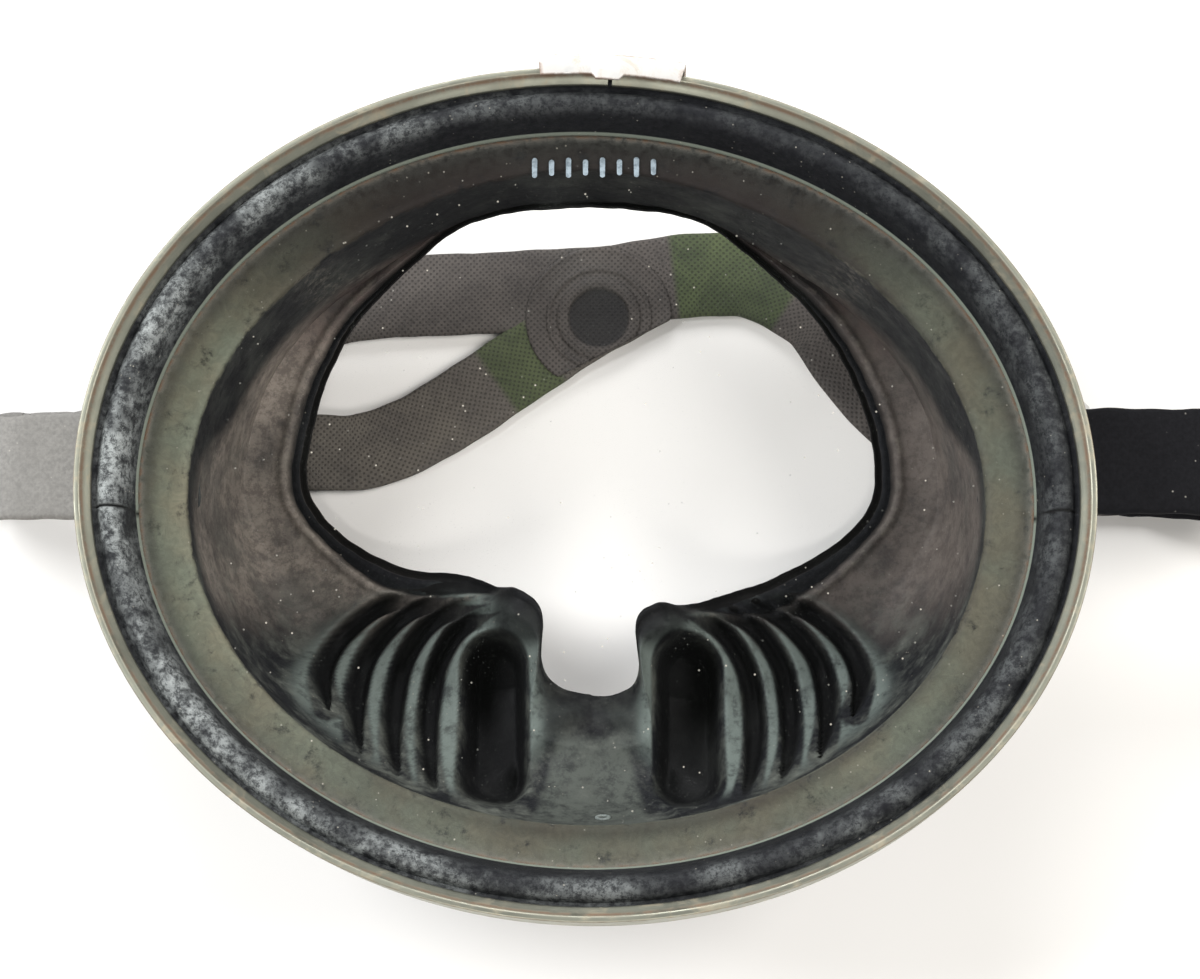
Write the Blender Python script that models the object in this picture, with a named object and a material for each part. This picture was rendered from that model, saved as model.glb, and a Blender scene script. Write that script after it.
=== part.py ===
"""Oval diving mask: rubber skirt, tempered lens, steel band with a clasp, two buckles and a split strap.

The mask lies on its skirt with the lens upward: +Z leaves the lens, +Y is the forehead, +X the side.
"""

import math

import bmesh
import bpy
import numpy as np

MM = 0.001

# Oval of the rim, outside of the steel band (all lengths in millimetres).
RIM_HALF_WIDTH = 90.0
RIM_HALF_HEIGHT = 76.75
HUB_Y = 18.0
RIM_SKEW = -0.0104
COLUMNS = 112

# Steel band: a channel rolled round the rubber, split near the top and closed by a sleeve.
BAND_TOP = 62.0
BAND_BOTTOM = 48.6
BAND_SHEET = 0.8
BAND_LIP = 3.3
BAND_LIP_DROP = 2.1
CLASP_CENTRE_X = 6.4
CLASP_LENGTH = 26.0
CLASP_SHEET = 1.0
BAND_GAP = 2.0
HOOK_LENGTH = 10.0
FIT = 0.3

# Lens and the groove that holds it.
LENS_TOP = 52.0
LENS_THICKNESS = 4.0
LENS_INSET = 6.4
LIP_INSET = 9.7
LIP_TOP = 53.3
SHELF_AT_SIDES = 17.7
SHELF_AT_TOP = 14.7

# Face side of the skirt, right half, from forehead to nose: x, y, height of the sealing edge.
FACE_EDGE = (
    (0.0, 61.3, 28.0),
    (14.0, 60.6, 27.0),
    (24.0, 58.3, 25.0),
    (33.0, 52.8, 20.5),
    (44.0, 43.8, 14.0),
    (51.0, 33.8, 9.0),
    (55.0, 22.8, 6.6),
    (56.0, 11.8, 6.0),
    (53.0, 4.8, 5.4),
    (46.0, -1.2, 5.0),
    (36.0, -6.7, 7.5),
    (26.0, -9.7, 12.0),
    (18.0, -13.2, 20.0),
    (13.0, -14.4, 27.0),
    (9.4, -17.2, 28.0),
    (8.6, -21.2, 27.5),
    (9.2, -26.2, 24.0),
    (8.0, -29.7, 20.0),
    (4.5, -31.5, 17.5),
    (0.0, -32.0, 17.0),
)
# Where the wall turns into the sealing flange: angle from the hub, flange width, height.
FLANGE_TURN = (
    (-90.0, 10.5, 22.0),
    (-80.0, 11.0, 21.0),
    (-65.0, 20.0, 15.0),
    (-50.0, 22.0, 7.5),
    (-35.0, 18.0, 3.0),
    (-20.0, 14.0, 3.0),
    (-6.0, 12.0, 5.6),
    (4.0, 12.0, 6.6),
    (20.0, 10.0, 7.6),
    (40.0, 5.0, 13.0),
    (60.0, 2.0, 22.0),
    (90.0, 1.2, 28.5),
)
WALL = 3.0
EDGE_THICKNESS = 1.6

# Buckle: a stirrup frame on a pin through the rubber lug, with a floating bar for the strap.
LUG_Y = 8.8
PIN_X = 79.5
PIN_Z = 31.0
PIN_RADIUS = 1.3
PIN_HOLE_RADIUS = 1.37
PIN_HALF_LENGTH = 14.2
PIN_HEAD_RADIUS = 2.2
PIN_HEAD_LENGTH = 1.2
LUG_HALF_WIDTH = 10.4
LUG_RADIUS = 2.9
FRAME_REACH = 14.5
FRAME_INSIDE_HALF = 10.7
FRAME_RAIL = 2.0
FRAME_SHEET = 1.6
KNUCKLE_RADIUS = 2.5
BAR_OFFSET = 6.6
BAR_WIDTH = 3.0
BAR_SHEET = 1.6
BAR_HOOK = 0.9
BAR_HOOK_DROP = 2.5

# Strap: rubber, split into two bands between two round bosses behind the head.
STRAP_THICKNESS = 2.2
STRAP_WIDTH = 20.0
BAND_WIDTH = 17.0
LOOP_SLACK = 0.6
BOSS_RADIUS = 8.4
BOSS_HEIGHT = 3.2
RIGHT_BOSS = (1.4, 46.0)
LEFT_BOSS = (-78.0, 25.0)
LEFT_JOIN = (-112.0, 18.5)
LEFT_JOIN_TURN = 184.0
RIGHT_JOIN = (104.0, 14.0)
RIGHT_JOIN_TURN = 0.0
LEFT_FOLD = 124.0
RIGHT_FOLD = 130.0
FLOOR_GAP = 0.1

MATERIALS = {
    "skirt_rubber": ((0.025, 0.027, 0.026), 0.0, 0.6),
    "lens_glass": ((0.72, 0.80, 0.76), 0.0, 0.05),
    "band_steel": ((0.62, 0.60, 0.55), 1.0, 0.3),
    "clasp_steel": ((0.70, 0.68, 0.64), 1.0, 0.25),
    "buckle_steel": ((0.60, 0.60, 0.58), 1.0, 0.3),
    "strap_rubber": ((0.05, 0.045, 0.042), 0.0, 0.7),
}


def clear_scene():
    """Removes every object of the start-up scene."""
    for item in list(bpy.data.objects):
        bpy.data.objects.remove(item, do_unlink=True)


def make_collection(name):
    """Makes a collection in the scene."""
    group = bpy.data.collections.new(name)
    bpy.context.scene.collection.children.link(group)
    return group


def make_material(name):
    """Makes a plain Principled material from the table above."""
    colour, metallic, roughness = MATERIALS[name.rsplit(".", 1)[0]]
    material = bpy.data.materials.new(name)
    material.use_nodes = True
    shader = material.node_tree.nodes["Principled BSDF"]
    shader.inputs["Base Color"].default_value = (*colour, 1.0)
    shader.inputs["Metallic"].default_value = metallic
    shader.inputs["Roughness"].default_value = roughness
    return material


def finish_mesh(name, mesh_data, material, group, origin=(0.0, 0.0, 0.0)):
    """Turns a bmesh in millimetres into a named object whose origin is at the given point."""
    bmesh.ops.remove_doubles(mesh_data, verts=mesh_data.verts, dist=0.001)
    bmesh.ops.translate(mesh_data, verts=mesh_data.verts, vec=[-value for value in origin])
    bmesh.ops.scale(mesh_data, verts=mesh_data.verts, vec=(MM, MM, MM))
    bmesh.ops.recalc_face_normals(mesh_data, faces=mesh_data.faces)
    mesh = bpy.data.meshes.new(name)
    mesh_data.to_mesh(mesh)
    mesh_data.free()
    item = bpy.data.objects.new(name, mesh)
    item.location = [value * MM for value in origin]
    mesh.materials.append(make_material(material + "." + name))
    group.objects.link(item)
    shade(item)
    return item


def shade(item):
    """Smooth shading with sharp edges kept at the corners."""
    for face in item.data.polygons:
        face.use_smooth = True
    item.data.set_sharp_from_angle(angle=math.radians(35.0))


def loft(sections, closed):
    """Joins equal loops of points into one skin, as a ring or with a cap at each end."""
    mesh_data = bmesh.new()
    loops = [[mesh_data.verts.new(point) for point in section] for section in sections]
    count = len(loops)
    size = len(loops[0])
    last = count if closed else count - 1
    for index in range(last):
        here = loops[index]
        after = loops[(index + 1) % count]
        for corner in range(size):
            turn = (corner + 1) % size
            mesh_data.faces.new((here[corner], here[turn], after[turn], after[corner]))
    if not closed:
        mesh_data.faces.new(loops[0])
        mesh_data.faces.new(list(reversed(loops[-1])))
    return mesh_data


def box(low, high):
    """A box between two corners."""
    mesh_data = bmesh.new()
    bmesh.ops.create_cube(mesh_data, size=1.0)
    size = [b - a for a, b in zip(low, high)]
    middle = [(a + b) / 2.0 for a, b in zip(low, high)]
    bmesh.ops.scale(mesh_data, verts=mesh_data.verts, vec=size)
    bmesh.ops.translate(mesh_data, verts=mesh_data.verts, vec=middle)
    return mesh_data


def rod(x, z, y_low, y_high, radius, segments=24):
    """A solid rod parallel to Y."""
    sections = []
    for y in (y_low, y_high):
        turn = [2.0 * math.pi * step / segments for step in range(segments)]
        sections.append([(x + radius * math.cos(t), y, z + radius * math.sin(t)) for t in turn])
    return loft(sections, closed=False)


def combine(base, tool, operation, group):
    """Applies a boolean to the base object and removes the tool."""
    tool.hide_render = True
    tool.display_type = "WIRE"
    change = base.modifiers.new(operation.lower(), "BOOLEAN")
    change.operation = operation
    change.solver = "EXACT"
    change.object = tool
    bpy.context.view_layer.update()
    graph = bpy.context.evaluated_depsgraph_get()
    result = bpy.data.meshes.new_from_object(base.evaluated_get(graph))
    base.modifiers.clear()
    old = base.data
    name = old.name
    base.data = result
    bpy.data.meshes.remove(old)
    result.name = name
    bpy.data.objects.remove(tool, do_unlink=True)
    clean = bmesh.new()
    clean.from_mesh(result)
    bmesh.ops.remove_doubles(clean, verts=clean.verts, dist=0.000002)
    bmesh.ops.dissolve_degenerate(clean, edges=clean.edges, dist=0.000002)
    clean.to_mesh(result)
    clean.free()
    shade(base)
    return base


def rim_reach(angle, inset):
    """Distance from the hub to the oval drawn inside the rim, along one direction."""
    half_width = RIM_HALF_WIDTH - inset
    half_height = RIM_HALF_HEIGHT - inset
    across = math.cos(angle) / half_width
    along = math.sin(angle) / half_height
    start = HUB_Y / half_height
    square = across * across + along * along
    cross = along * start
    return (-cross + math.sqrt(cross * cross - square * (start * start - 1.0))) / square


def place(angle, reach, height):
    """Point at a distance and height on the ray that leaves the hub."""
    x = reach * math.cos(angle)
    y = HUB_Y + reach * math.sin(angle)
    return (x + RIM_SKEW * y, y + RIM_SKEW * x, height)


def column_angles():
    """Directions of the columns, closer together round the nose."""
    steps = np.arange(COLUMNS) / COLUMNS
    even = 2.0 * math.pi * steps
    crowding = 0.55
    return -math.pi / 2.0 + even - crowding * np.sin(even)


def smooth_loop(points, steps=8):
    """Catmull-Rom curve through a closed list of points."""
    corners = np.array(points)
    count = len(corners)
    result = []
    for index in range(count):
        before, start, end, after = (corners[(index + shift) % count] for shift in (-1, 0, 1, 2))
        for step in range(steps):
            t = step / steps
            bend = 2.0 * before - 5.0 * start + 4.0 * end - after
            twist = 3.0 * start - before - 3.0 * end + after
            result.append(0.5 * (2.0 * start + (end - before) * t + bend * t * t + twist * t**3))
    return np.array(result)


def face_edge():
    """Angle, reach and height of the sealing edge all the way round."""
    left = [(-x, y, z) for x, y, z in FACE_EDGE[1:-1]]
    loop = smooth_loop(list(FACE_EDGE) + list(reversed(left)))
    angle = np.unwrap(np.arctan2(loop[:, 1] - HUB_Y, loop[:, 0]))
    reach = np.hypot(loop[:, 0], loop[:, 1] - HUB_Y)
    order = np.argsort(angle)
    return angle[order], reach[order], loop[order, 2]


def flange_turn(angle):
    """Width of the flange and height of its turn; both sides of the mask are alike."""
    rise = math.degrees(math.asin(max(-1.0, min(1.0, math.sin(angle)))))
    stations = np.array(FLANGE_TURN)
    width = np.interp(rise, stations[:, 0], stations[:, 1])
    height = np.interp(rise, stations[:, 0], stations[:, 2])
    return float(width), float(height)


def shelf_inset(angle):
    """The shelf behind the lens is narrower at the forehead."""
    upper = max(0.0, math.sin(angle)) ** 3
    return SHELF_AT_SIDES + (SHELF_AT_TOP - SHELF_AT_SIDES) * upper


def skirt_section(angle, edge_reach, edge_height):
    """One column of the skirt: bead, groove, shelf, wall, sealing flange and the wall outside."""

    def rim(inset):
        return rim_reach(angle, inset)

    lens_bottom = LENS_TOP - LENS_THICKNESS
    turn_width, turn_height = flange_turn(angle)
    bead = [
        (rim(1.1), 60.1),
        (rim(3.45), 58.45),
        (rim(3.75), 58.9),
        (rim(4.3), 59.9),
        (rim(5.4), 60.4),
        (rim(6.8), 60.1),
        (rim(8.0), 58.7),
        (rim(8.8), 56.4),
        (rim(9.3), LIP_TOP + 0.7),
        (rim(LIP_INSET), LIP_TOP),
        (rim(LIP_INSET), LENS_TOP + FIT),
    ]
    groove = [
        (rim(LENS_INSET - FIT), LENS_TOP + FIT),
        (rim(LENS_INSET - FIT), lens_bottom - FIT),
    ]
    shelf = rim(shelf_inset(angle))
    shelf_edge = [(shelf + 0.9, lens_bottom - FIT), (shelf, lens_bottom - 1.2)]
    turn = edge_reach + turn_width
    drop = turn_height - (lens_bottom - 1.2)
    wall = []
    for share in (0.2, 0.42, 0.62, 0.82, 1.0):
        quarter = share * math.pi / 2.0
        reach = shelf + (turn - shelf) * (1.0 - math.cos(quarter))
        wall.append((reach, lens_bottom - 1.2 + drop * math.sin(quarter)))
    middle = (turn + edge_reach) / 2.0
    flange = [
        (middle, (turn_height + edge_height) / 2.0 - 0.2),
        (edge_reach + 0.5, edge_height),
        (edge_reach, edge_height - EDGE_THICKNESS / 2.0),
        (edge_reach + 0.5, edge_height - EDGE_THICKNESS),
    ]
    under = [
        (middle, (turn_height + edge_height) / 2.0 - 0.8 * WALL),
        (turn, turn_height - WALL),
        (turn + 0.6 * WALL, turn_height - 0.8 * WALL),
    ]
    outside = [(reach + WALL, height + 0.25 * WALL) for reach, height in reversed(wall[:-1])]
    shoulder = [
        (shelf + WALL, lens_bottom - 4.4),
        (rim(7.0), BAND_BOTTOM - 2.4),
        (rim(BAND_LIP + 0.4), BAND_BOTTOM - FIT),
        (rim(BAND_LIP + 0.4), BAND_BOTTOM + BAND_SHEET + FIT),
        (rim(1.1), BAND_BOTTOM + BAND_SHEET + FIT),
    ]
    profile = bead + groove + shelf_edge + wall + flange + under + outside + shoulder
    return [place(angle, reach, height) for reach, height in profile]


def build_skirt(group):
    """The skirt is one rubber moulding with a lug for each buckle."""
    angles, reaches, heights = face_edge()
    sections = []
    for angle in column_angles():
        reach = float(np.interp(angle, angles, reaches, period=2.0 * math.pi))
        height = float(np.interp(angle, angles, heights, period=2.0 * math.pi))
        sections.append(skirt_section(angle, reach, height))
    skirt = finish_mesh("skirt", loft(sections, closed=True), "skirt_rubber", group)
    for side in (-1.0, 1.0):
        inner = side * (PIN_X - 7.5)
        outline = [
            (inner, PIN_Z - 6.0),
            (side * PIN_X, PIN_Z - LUG_RADIUS),
            (side * (PIN_X + 0.7 * LUG_RADIUS), PIN_Z - 0.7 * LUG_RADIUS),
            (side * (PIN_X + LUG_RADIUS), PIN_Z),
            (side * (PIN_X + 0.7 * LUG_RADIUS), PIN_Z + 0.7 * LUG_RADIUS),
            (side * PIN_X, PIN_Z + LUG_RADIUS),
            (inner, PIN_Z + 6.0),
        ]
        ends = (LUG_Y - LUG_HALF_WIDTH, LUG_Y + LUG_HALF_WIDTH)
        block = loft([[(x, y, z) for x, z in outline] for y in ends], closed=False)
        lug = finish_mesh("lug_block", block, "skirt_rubber", group)
        combine(skirt, lug, "UNION", group)
        drill = rod(side * PIN_X, PIN_Z, ends[0] - 1.0, ends[1] + 1.0, PIN_HOLE_RADIUS)
        hole = finish_mesh("lug_drill", drill, "skirt_rubber", group)
        combine(skirt, hole, "DIFFERENCE", group)
    return skirt


def build_lens(group):
    """Flat tempered glass with a small bevel round its edge."""
    bottom = LENS_TOP - LENS_THICKNESS
    bevel = 0.5
    rings = (
        (LENS_INSET + bevel, bottom),
        (LENS_INSET, bottom + bevel),
        (LENS_INSET, LENS_TOP - bevel),
        (LENS_INSET + bevel, LENS_TOP),
    )
    angles = column_angles()
    sections = [[place(a, rim_reach(a, inset), z) for a in angles] for inset, z in rings]
    return finish_mesh("lens", loft(sections, closed=False), "lens_glass", group)


def band_profile(outside):
    """Channel section of the band; the front lip slopes down on to the rubber."""
    top = BAND_TOP
    low = BAND_BOTTOM
    sheet = BAND_SHEET
    return [
        (outside + 0.3, low),
        (outside, low + 0.3),
        (outside, top - 0.5),
        (outside + 0.4, top),
        (1.1, top - 0.1),
        (BAND_LIP, top - BAND_LIP_DROP),
        (BAND_LIP, top - BAND_LIP_DROP - sheet),
        (1.0, top - 1.1),
        (sheet, top - 1.4),
        (sheet, low + sheet),
        (BAND_LIP, low + sheet),
        (BAND_LIP, low),
    ]


def clasp_angle(x):
    """Direction from the hub of the point of the rim above a given x near the forehead."""
    y = RIM_HALF_HEIGHT * math.sqrt(1.0 - (x / RIM_HALF_WIDTH) ** 2)
    return math.atan2(y - HUB_Y, x)


def build_band(group):
    """The band runs from one side of the gap to the other with each end folded back as a hook."""
    first = clasp_angle(CLASP_CENTRE_X - BAND_GAP / 2.0)
    last = clasp_angle(CLASP_CENTRE_X + BAND_GAP / 2.0) + 2.0 * math.pi
    hook_start = clasp_angle(CLASP_CENTRE_X - BAND_GAP / 2.0 - HOOK_LENGTH)
    hook_end = clasp_angle(CLASP_CENTRE_X + BAND_GAP / 2.0 + HOOK_LENGTH) + 2.0 * math.pi
    slope = 0.012
    stops = {first, last, hook_start, hook_end, hook_start + slope, hook_end - slope}
    for angle in column_angles():
        turned = angle % (2.0 * math.pi)
        while turned < first:
            turned += 2.0 * math.pi
        if turned < last and min(abs(turned - stop) for stop in stops) > 0.004:
            stops.add(turned)
    sections = []
    for angle in sorted(stops):
        folded = angle <= hook_start or angle >= hook_end
        outside = -BAND_SHEET if folded else 0.0
        profile = band_profile(outside)
        sections.append([place(angle, rim_reach(angle, inset), z) for inset, z in profile])
    return finish_mesh("band", loft(sections, closed=False), "band_steel", group)


def build_clasp(group):
    """The clasp is a sleeve pressed over both hooks, open toward the lens."""
    near = BAND_SHEET + FIT
    far = near + CLASP_SHEET
    top = BAND_TOP + FIT
    low = BAND_BOTTOM - FIT
    lip = 1.5
    profile = [
        (-far + 0.4, low - CLASP_SHEET),
        (-far, low - CLASP_SHEET + 0.4),
        (-far, top + CLASP_SHEET - 0.4),
        (-far + 0.4, top + CLASP_SHEET),
        (lip, top + CLASP_SHEET - 0.2),
        (lip, top),
        (-near, top),
        (-near, low),
        (lip, low),
        (lip, low - CLASP_SHEET),
    ]
    start = clasp_angle(CLASP_CENTRE_X + CLASP_LENGTH / 2.0)
    end = clasp_angle(CLASP_CENTRE_X - CLASP_LENGTH / 2.0)
    sections = []
    for angle in np.linspace(start, end, 13):
        sections.append([place(angle, rim_reach(angle, inset), z) for inset, z in profile])
    return finish_mesh("clasp_sleeve", loft(sections, closed=False), "clasp_steel", group)


def build_buckle(side, word, group):
    """Pin, frame and floating bar of one buckle; both moving pieces have their origin on the pin."""
    pin_x = side * PIN_X
    shank = rod(pin_x, PIN_Z, LUG_Y - PIN_HALF_LENGTH, LUG_Y + PIN_HALF_LENGTH, PIN_RADIUS)
    pin = finish_mesh("buckle_pin_" + word, shank, "buckle_steel", group)
    for end in (-1.0, 1.0):
        tip = LUG_Y + end * (PIN_HALF_LENGTH + 0.4)
        inner = LUG_Y + end * (PIN_HALF_LENGTH - PIN_HEAD_LENGTH)
        head = rod(pin_x, PIN_Z, min(tip, inner), max(tip, inner), PIN_HEAD_RADIUS)
        combine(pin, finish_mesh("pin_head", head, "buckle_steel", group), "UNION", group)
    half = FRAME_SHEET / 2.0
    rail_out = FRAME_INSIDE_HALF + FRAME_RAIL
    reach = FRAME_REACH
    outline = [
        (0.0, -rail_out),
        (reach - 1.5, -rail_out),
        (reach, -rail_out + 1.5),
        (reach, rail_out - 1.5),
        (reach - 1.5, rail_out),
        (0.0, rail_out),
        (0.0, FRAME_INSIDE_HALF),
        (reach - FRAME_RAIL, FRAME_INSIDE_HALF),
        (reach - FRAME_RAIL, -FRAME_INSIDE_HALF),
        (0.0, -FRAME_INSIDE_HALF),
    ]
    levels = (PIN_Z - half, PIN_Z + half)
    plate = loft(
        [[(pin_x + side * x, LUG_Y + y, z) for x, y in outline] for z in levels], closed=False
    )
    axis = (pin_x, LUG_Y, PIN_Z)
    frame = finish_mesh("buckle_frame_" + word, plate, "buckle_steel", group, axis)
    for end in (-1.0, 1.0):
        near = LUG_Y + end * (FRAME_INSIDE_HALF + 0.02)
        far = LUG_Y + end * (rail_out - 0.02)
        tube = rod(pin_x, PIN_Z, min(near, far), max(near, far), KNUCKLE_RADIUS)
        knuckle = finish_mesh("knuckle", tube, "buckle_steel", group)
        combine(frame, knuckle, "UNION", group)
    drill = rod(pin_x, PIN_Z, LUG_Y - 20.0, LUG_Y + 20.0, PIN_HOLE_RADIUS)
    combine(frame, finish_mesh("pin_drill", drill, "buckle_steel", group), "DIFFERENCE", group)
    base = PIN_Z + half + FIT
    hook = rail_out + FIT
    section = [
        (-hook - BAR_HOOK, base + BAR_SHEET),
        (-hook - BAR_HOOK, base - BAR_HOOK_DROP),
        (-hook, base - BAR_HOOK_DROP),
        (-hook, base),
        (hook, base),
        (hook, base - BAR_HOOK_DROP),
        (hook + BAR_HOOK, base - BAR_HOOK_DROP),
        (hook + BAR_HOOK, base + BAR_SHEET),
    ]
    ends = (BAR_OFFSET, BAR_OFFSET + BAR_WIDTH)
    strip = loft(
        [[(pin_x + side * x, LUG_Y + y, z) for y, z in section] for x in ends], closed=False
    )
    centre = (pin_x + side * (BAR_OFFSET + BAR_WIDTH / 2.0), LUG_Y, base + BAR_SHEET / 2.0)
    bar = finish_mesh("buckle_bar_" + word, strip, "buckle_steel", group, centre)
    return pin, frame, bar


def smooth_path(points, steps):
    """Catmull-Rom curve through an open list of points, ends included."""
    corners = [np.array(point, float) for point in points]
    corners.insert(0, 2.0 * corners[0] - corners[1])
    corners.append(2.0 * corners[-1] - corners[-2])
    result = []
    for index in range(1, len(corners) - 2):
        before, start, end, after = corners[index - 1 : index + 3]
        for step in range(steps):
            t = step / steps
            bend = 2.0 * before - 5.0 * start + 4.0 * end - after
            twist = 3.0 * start - before - 3.0 * end + after
            result.append(0.5 * (2.0 * start + (end - before) * t + bend * t * t + twist * t**3))
    result.append(corners[-2])
    return np.array(result)


def ribbon(path, width, thickness):
    """Flat strap along a path; its width stays level and turns with the path seen from above."""
    sections = []
    count = len(path)
    across = None
    for index in range(count):
        ahead = path[min(index + 1, count - 1)] - path[max(index - 1, 0)]
        ahead = ahead / np.linalg.norm(ahead)
        flat = np.cross((0.0, 0.0, 1.0), ahead)
        if np.linalg.norm(flat) > 0.35:
            wanted = flat / np.linalg.norm(flat)
            if across is not None and np.dot(wanted, across) < 0.0:
                wanted = -wanted
            across = wanted
        side = across - ahead * np.dot(across, ahead)
        side = side / np.linalg.norm(side)
        up = np.cross(ahead, side)
        half = width / 2.0
        thin = thickness / 2.0
        corner = 0.4
        outline = (
            (half - corner, thin),
            (-half + corner, thin),
            (-half, thin - corner),
            (-half, -thin + corner),
            (-half + corner, -thin),
            (half - corner, -thin),
            (half, -thin + corner),
            (half, thin - corner),
        )
        sections.append([tuple(path[index] + side * a + up * b) for a, b in outline])
    return loft(sections, closed=False)


def strap_level():
    """Height of the middle of the strap where it lies flat."""
    return FLOOR_GAP + STRAP_THICKNESS / 2.0


def join_point(join, turn, distance):
    """Point on the straight run of strap through a join, measured along the strap."""
    angle = math.radians(turn)
    return join[0] + distance * math.cos(angle), join[1] + distance * math.sin(angle)


def build_strap_back(group):
    """The part behind the head: two bands between two bosses, with a tail toward each buckle."""
    level = strap_level()
    upper_run = ((-78.0, 25.0), (-70.0, 37.0), (-61.0, 45.5), (-48.0, 50.3), (-18.0, 51.8), (4.0, 52.9))
    lower_run = ((-81.0, 23.0), (-67.0, 19.5), (-54.4, 18.9), (-46.0, 19.0), (-37.0, 22.0))
    lower_run += ((-27.0, 27.8), (-16.5, 35.0), (-4.5, 43.2), (4.0, 48.2), (12.0, 52.6))
    right_run = ((-1.0, 51.6), (10.0, 53.8), (22.0, 55.2), (34.0, 54.2), (45.5, 47.2), (51.0, 39.5))
    right_run += ((56.0, 32.5), (63.0, 25.5), (76.0, 17.5))
    upper = [(x, y, level) for x, y in upper_run]
    lower = [(x, y, level) for x, y in lower_run]
    right = [(x, y, level) for x, y in right_run]
    right.extend([(*join_point(RIGHT_JOIN, RIGHT_JOIN_TURN, back), level) for back in (-12.0, -6.0, 0.0)])
    left = [(LEFT_BOSS[0] + 3.0, LEFT_BOSS[1] + 1.0, level)]
    left.extend([(*join_point(LEFT_JOIN, LEFT_JOIN_TURN, back), level) for back in (-12.0, -6.0, 0.0)])
    discs = []
    for x, y in (LEFT_BOSS, RIGHT_BOSS):
        rings = []
        for radius, z in ((BOSS_RADIUS, 0.0), (BOSS_RADIUS, 2.5), (BOSS_RADIUS - 0.8, BOSS_HEIGHT)):
            turns = [2.0 * math.pi * step / 48 for step in range(48)]
            rings.append([(x + radius * math.cos(t), y + radius * math.sin(t), z) for t in turns])
        discs.append(loft(rings, closed=False))
    strap = finish_mesh("strap_back", discs[1], "strap_rubber", group)
    extras = [
        ribbon(smooth_path(upper, 5), BAND_WIDTH, STRAP_THICKNESS),
        ribbon(smooth_path(right, 5), BAND_WIDTH + 0.4, STRAP_THICKNESS - 0.06),
        discs[0],
        ribbon(smooth_path(left, 5), STRAP_WIDTH, STRAP_THICKNESS - 0.04),
        ribbon(smooth_path(lower, 5), BAND_WIDTH - 1.5, STRAP_THICKNESS - 0.1),
    ]
    for number, extra in enumerate(extras):
        tool = finish_mesh("strap_piece_" + str(number), extra, "strap_rubber", group)
        combine(strap, tool, "UNION", group)
    return strap


def build_strap_end(side, word, join, turn, fold_x, group):
    """From the floor through the fold and round the floating bar; it swings with the buckle."""
    level = strap_level()
    half = STRAP_THICKNESS / 2.0
    bar_base = PIN_Z + FRAME_SHEET / 2.0 + FIT
    over = bar_base + BAR_SHEET + 1.5 * FIT + half
    under = PIN_Z - FRAME_SHEET / 2.0 - FIT - half
    loop_x = PIN_X + BAR_OFFSET - FIT - half - LOOP_SLACK
    loop_z = (over + under) / 2.0
    start = join_point(join, turn, 2.0 * FIT)
    straight = join_point(join, turn, 2.5)
    level_end = join_point(join, turn, 5.0)
    start_y = level_end[1]
    path = [
        (side * start[0], start[1], level),
        (side * straight[0], straight[1], level),
        (side * level_end[0], level_end[1], level + 0.1),
        (fold_x - 3.0, start_y + 0.35 * (LUG_Y - start_y), level + 5.5),
        (fold_x, start_y + 0.6 * (LUG_Y - start_y), level + 14.0),
        (fold_x - 4.0, start_y + 0.85 * (LUG_Y - start_y), level + 24.5),
        (fold_x - 14.0, LUG_Y, over - 1.4),
        (PIN_X + 22.0, LUG_Y, over),
        (PIN_X + 14.0, LUG_Y, over),
        (loop_x + 2.6, LUG_Y, over),
        (loop_x + 0.7, LUG_Y, over - 1.0),
        (loop_x, LUG_Y, loop_z),
        (loop_x + 0.7, LUG_Y, under + 1.0),
        (loop_x + 2.6, LUG_Y, under),
        (PIN_X + 14.0, LUG_Y, under),
        (PIN_X + 21.0, LUG_Y, under),
    ]
    points = smooth_path([(side * x, y, z) for x, y, z in path], 4)
    points[:, 2] = np.maximum(points[:, 2], level)
    mesh_data = ribbon(points, STRAP_WIDTH, STRAP_THICKNESS)
    axis = (side * PIN_X, LUG_Y, PIN_Z)
    return finish_mesh("strap_end_" + word, mesh_data, "strap_rubber", group, axis)


def settle(group):
    """Moves the whole mask so that the origin is under the middle of its bounding box."""
    bpy.context.view_layer.update()
    corners = []
    for item in group.objects:
        corners.extend(np.array(item.matrix_world @ vertex.co) for vertex in item.data.vertices)
    low = np.min(corners, axis=0)
    high = np.max(corners, axis=0)
    shift = ((low[0] + high[0]) / 2.0, (low[1] + high[1]) / 2.0, low[2])
    for item in group.objects:
        for axis in range(3):
            item.location[axis] -= shift[axis]


def main():
    """Builds every piece of the mask."""
    clear_scene()
    group = make_collection("diving_mask")
    build_skirt(group)
    build_lens(group)
    build_band(group)
    build_clasp(group)
    build_buckle(-1.0, "left", group)
    build_buckle(1.0, "right", group)
    build_strap_back(group)
    build_strap_end(-1.0, "left", LEFT_JOIN, LEFT_JOIN_TURN, LEFT_FOLD, group)
    build_strap_end(1.0, "right", RIGHT_JOIN, RIGHT_JOIN_TURN, RIGHT_FOLD, group)
    settle(group)


main()
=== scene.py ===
"""Looks of the diving mask: detailed rubber, glass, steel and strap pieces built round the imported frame.

Lengths in the helper functions are millimetres; they become metres when a mesh is made.
"""

import math

import bmesh
import bpy
import numpy as np
from mathutils import Matrix, Vector


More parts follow.
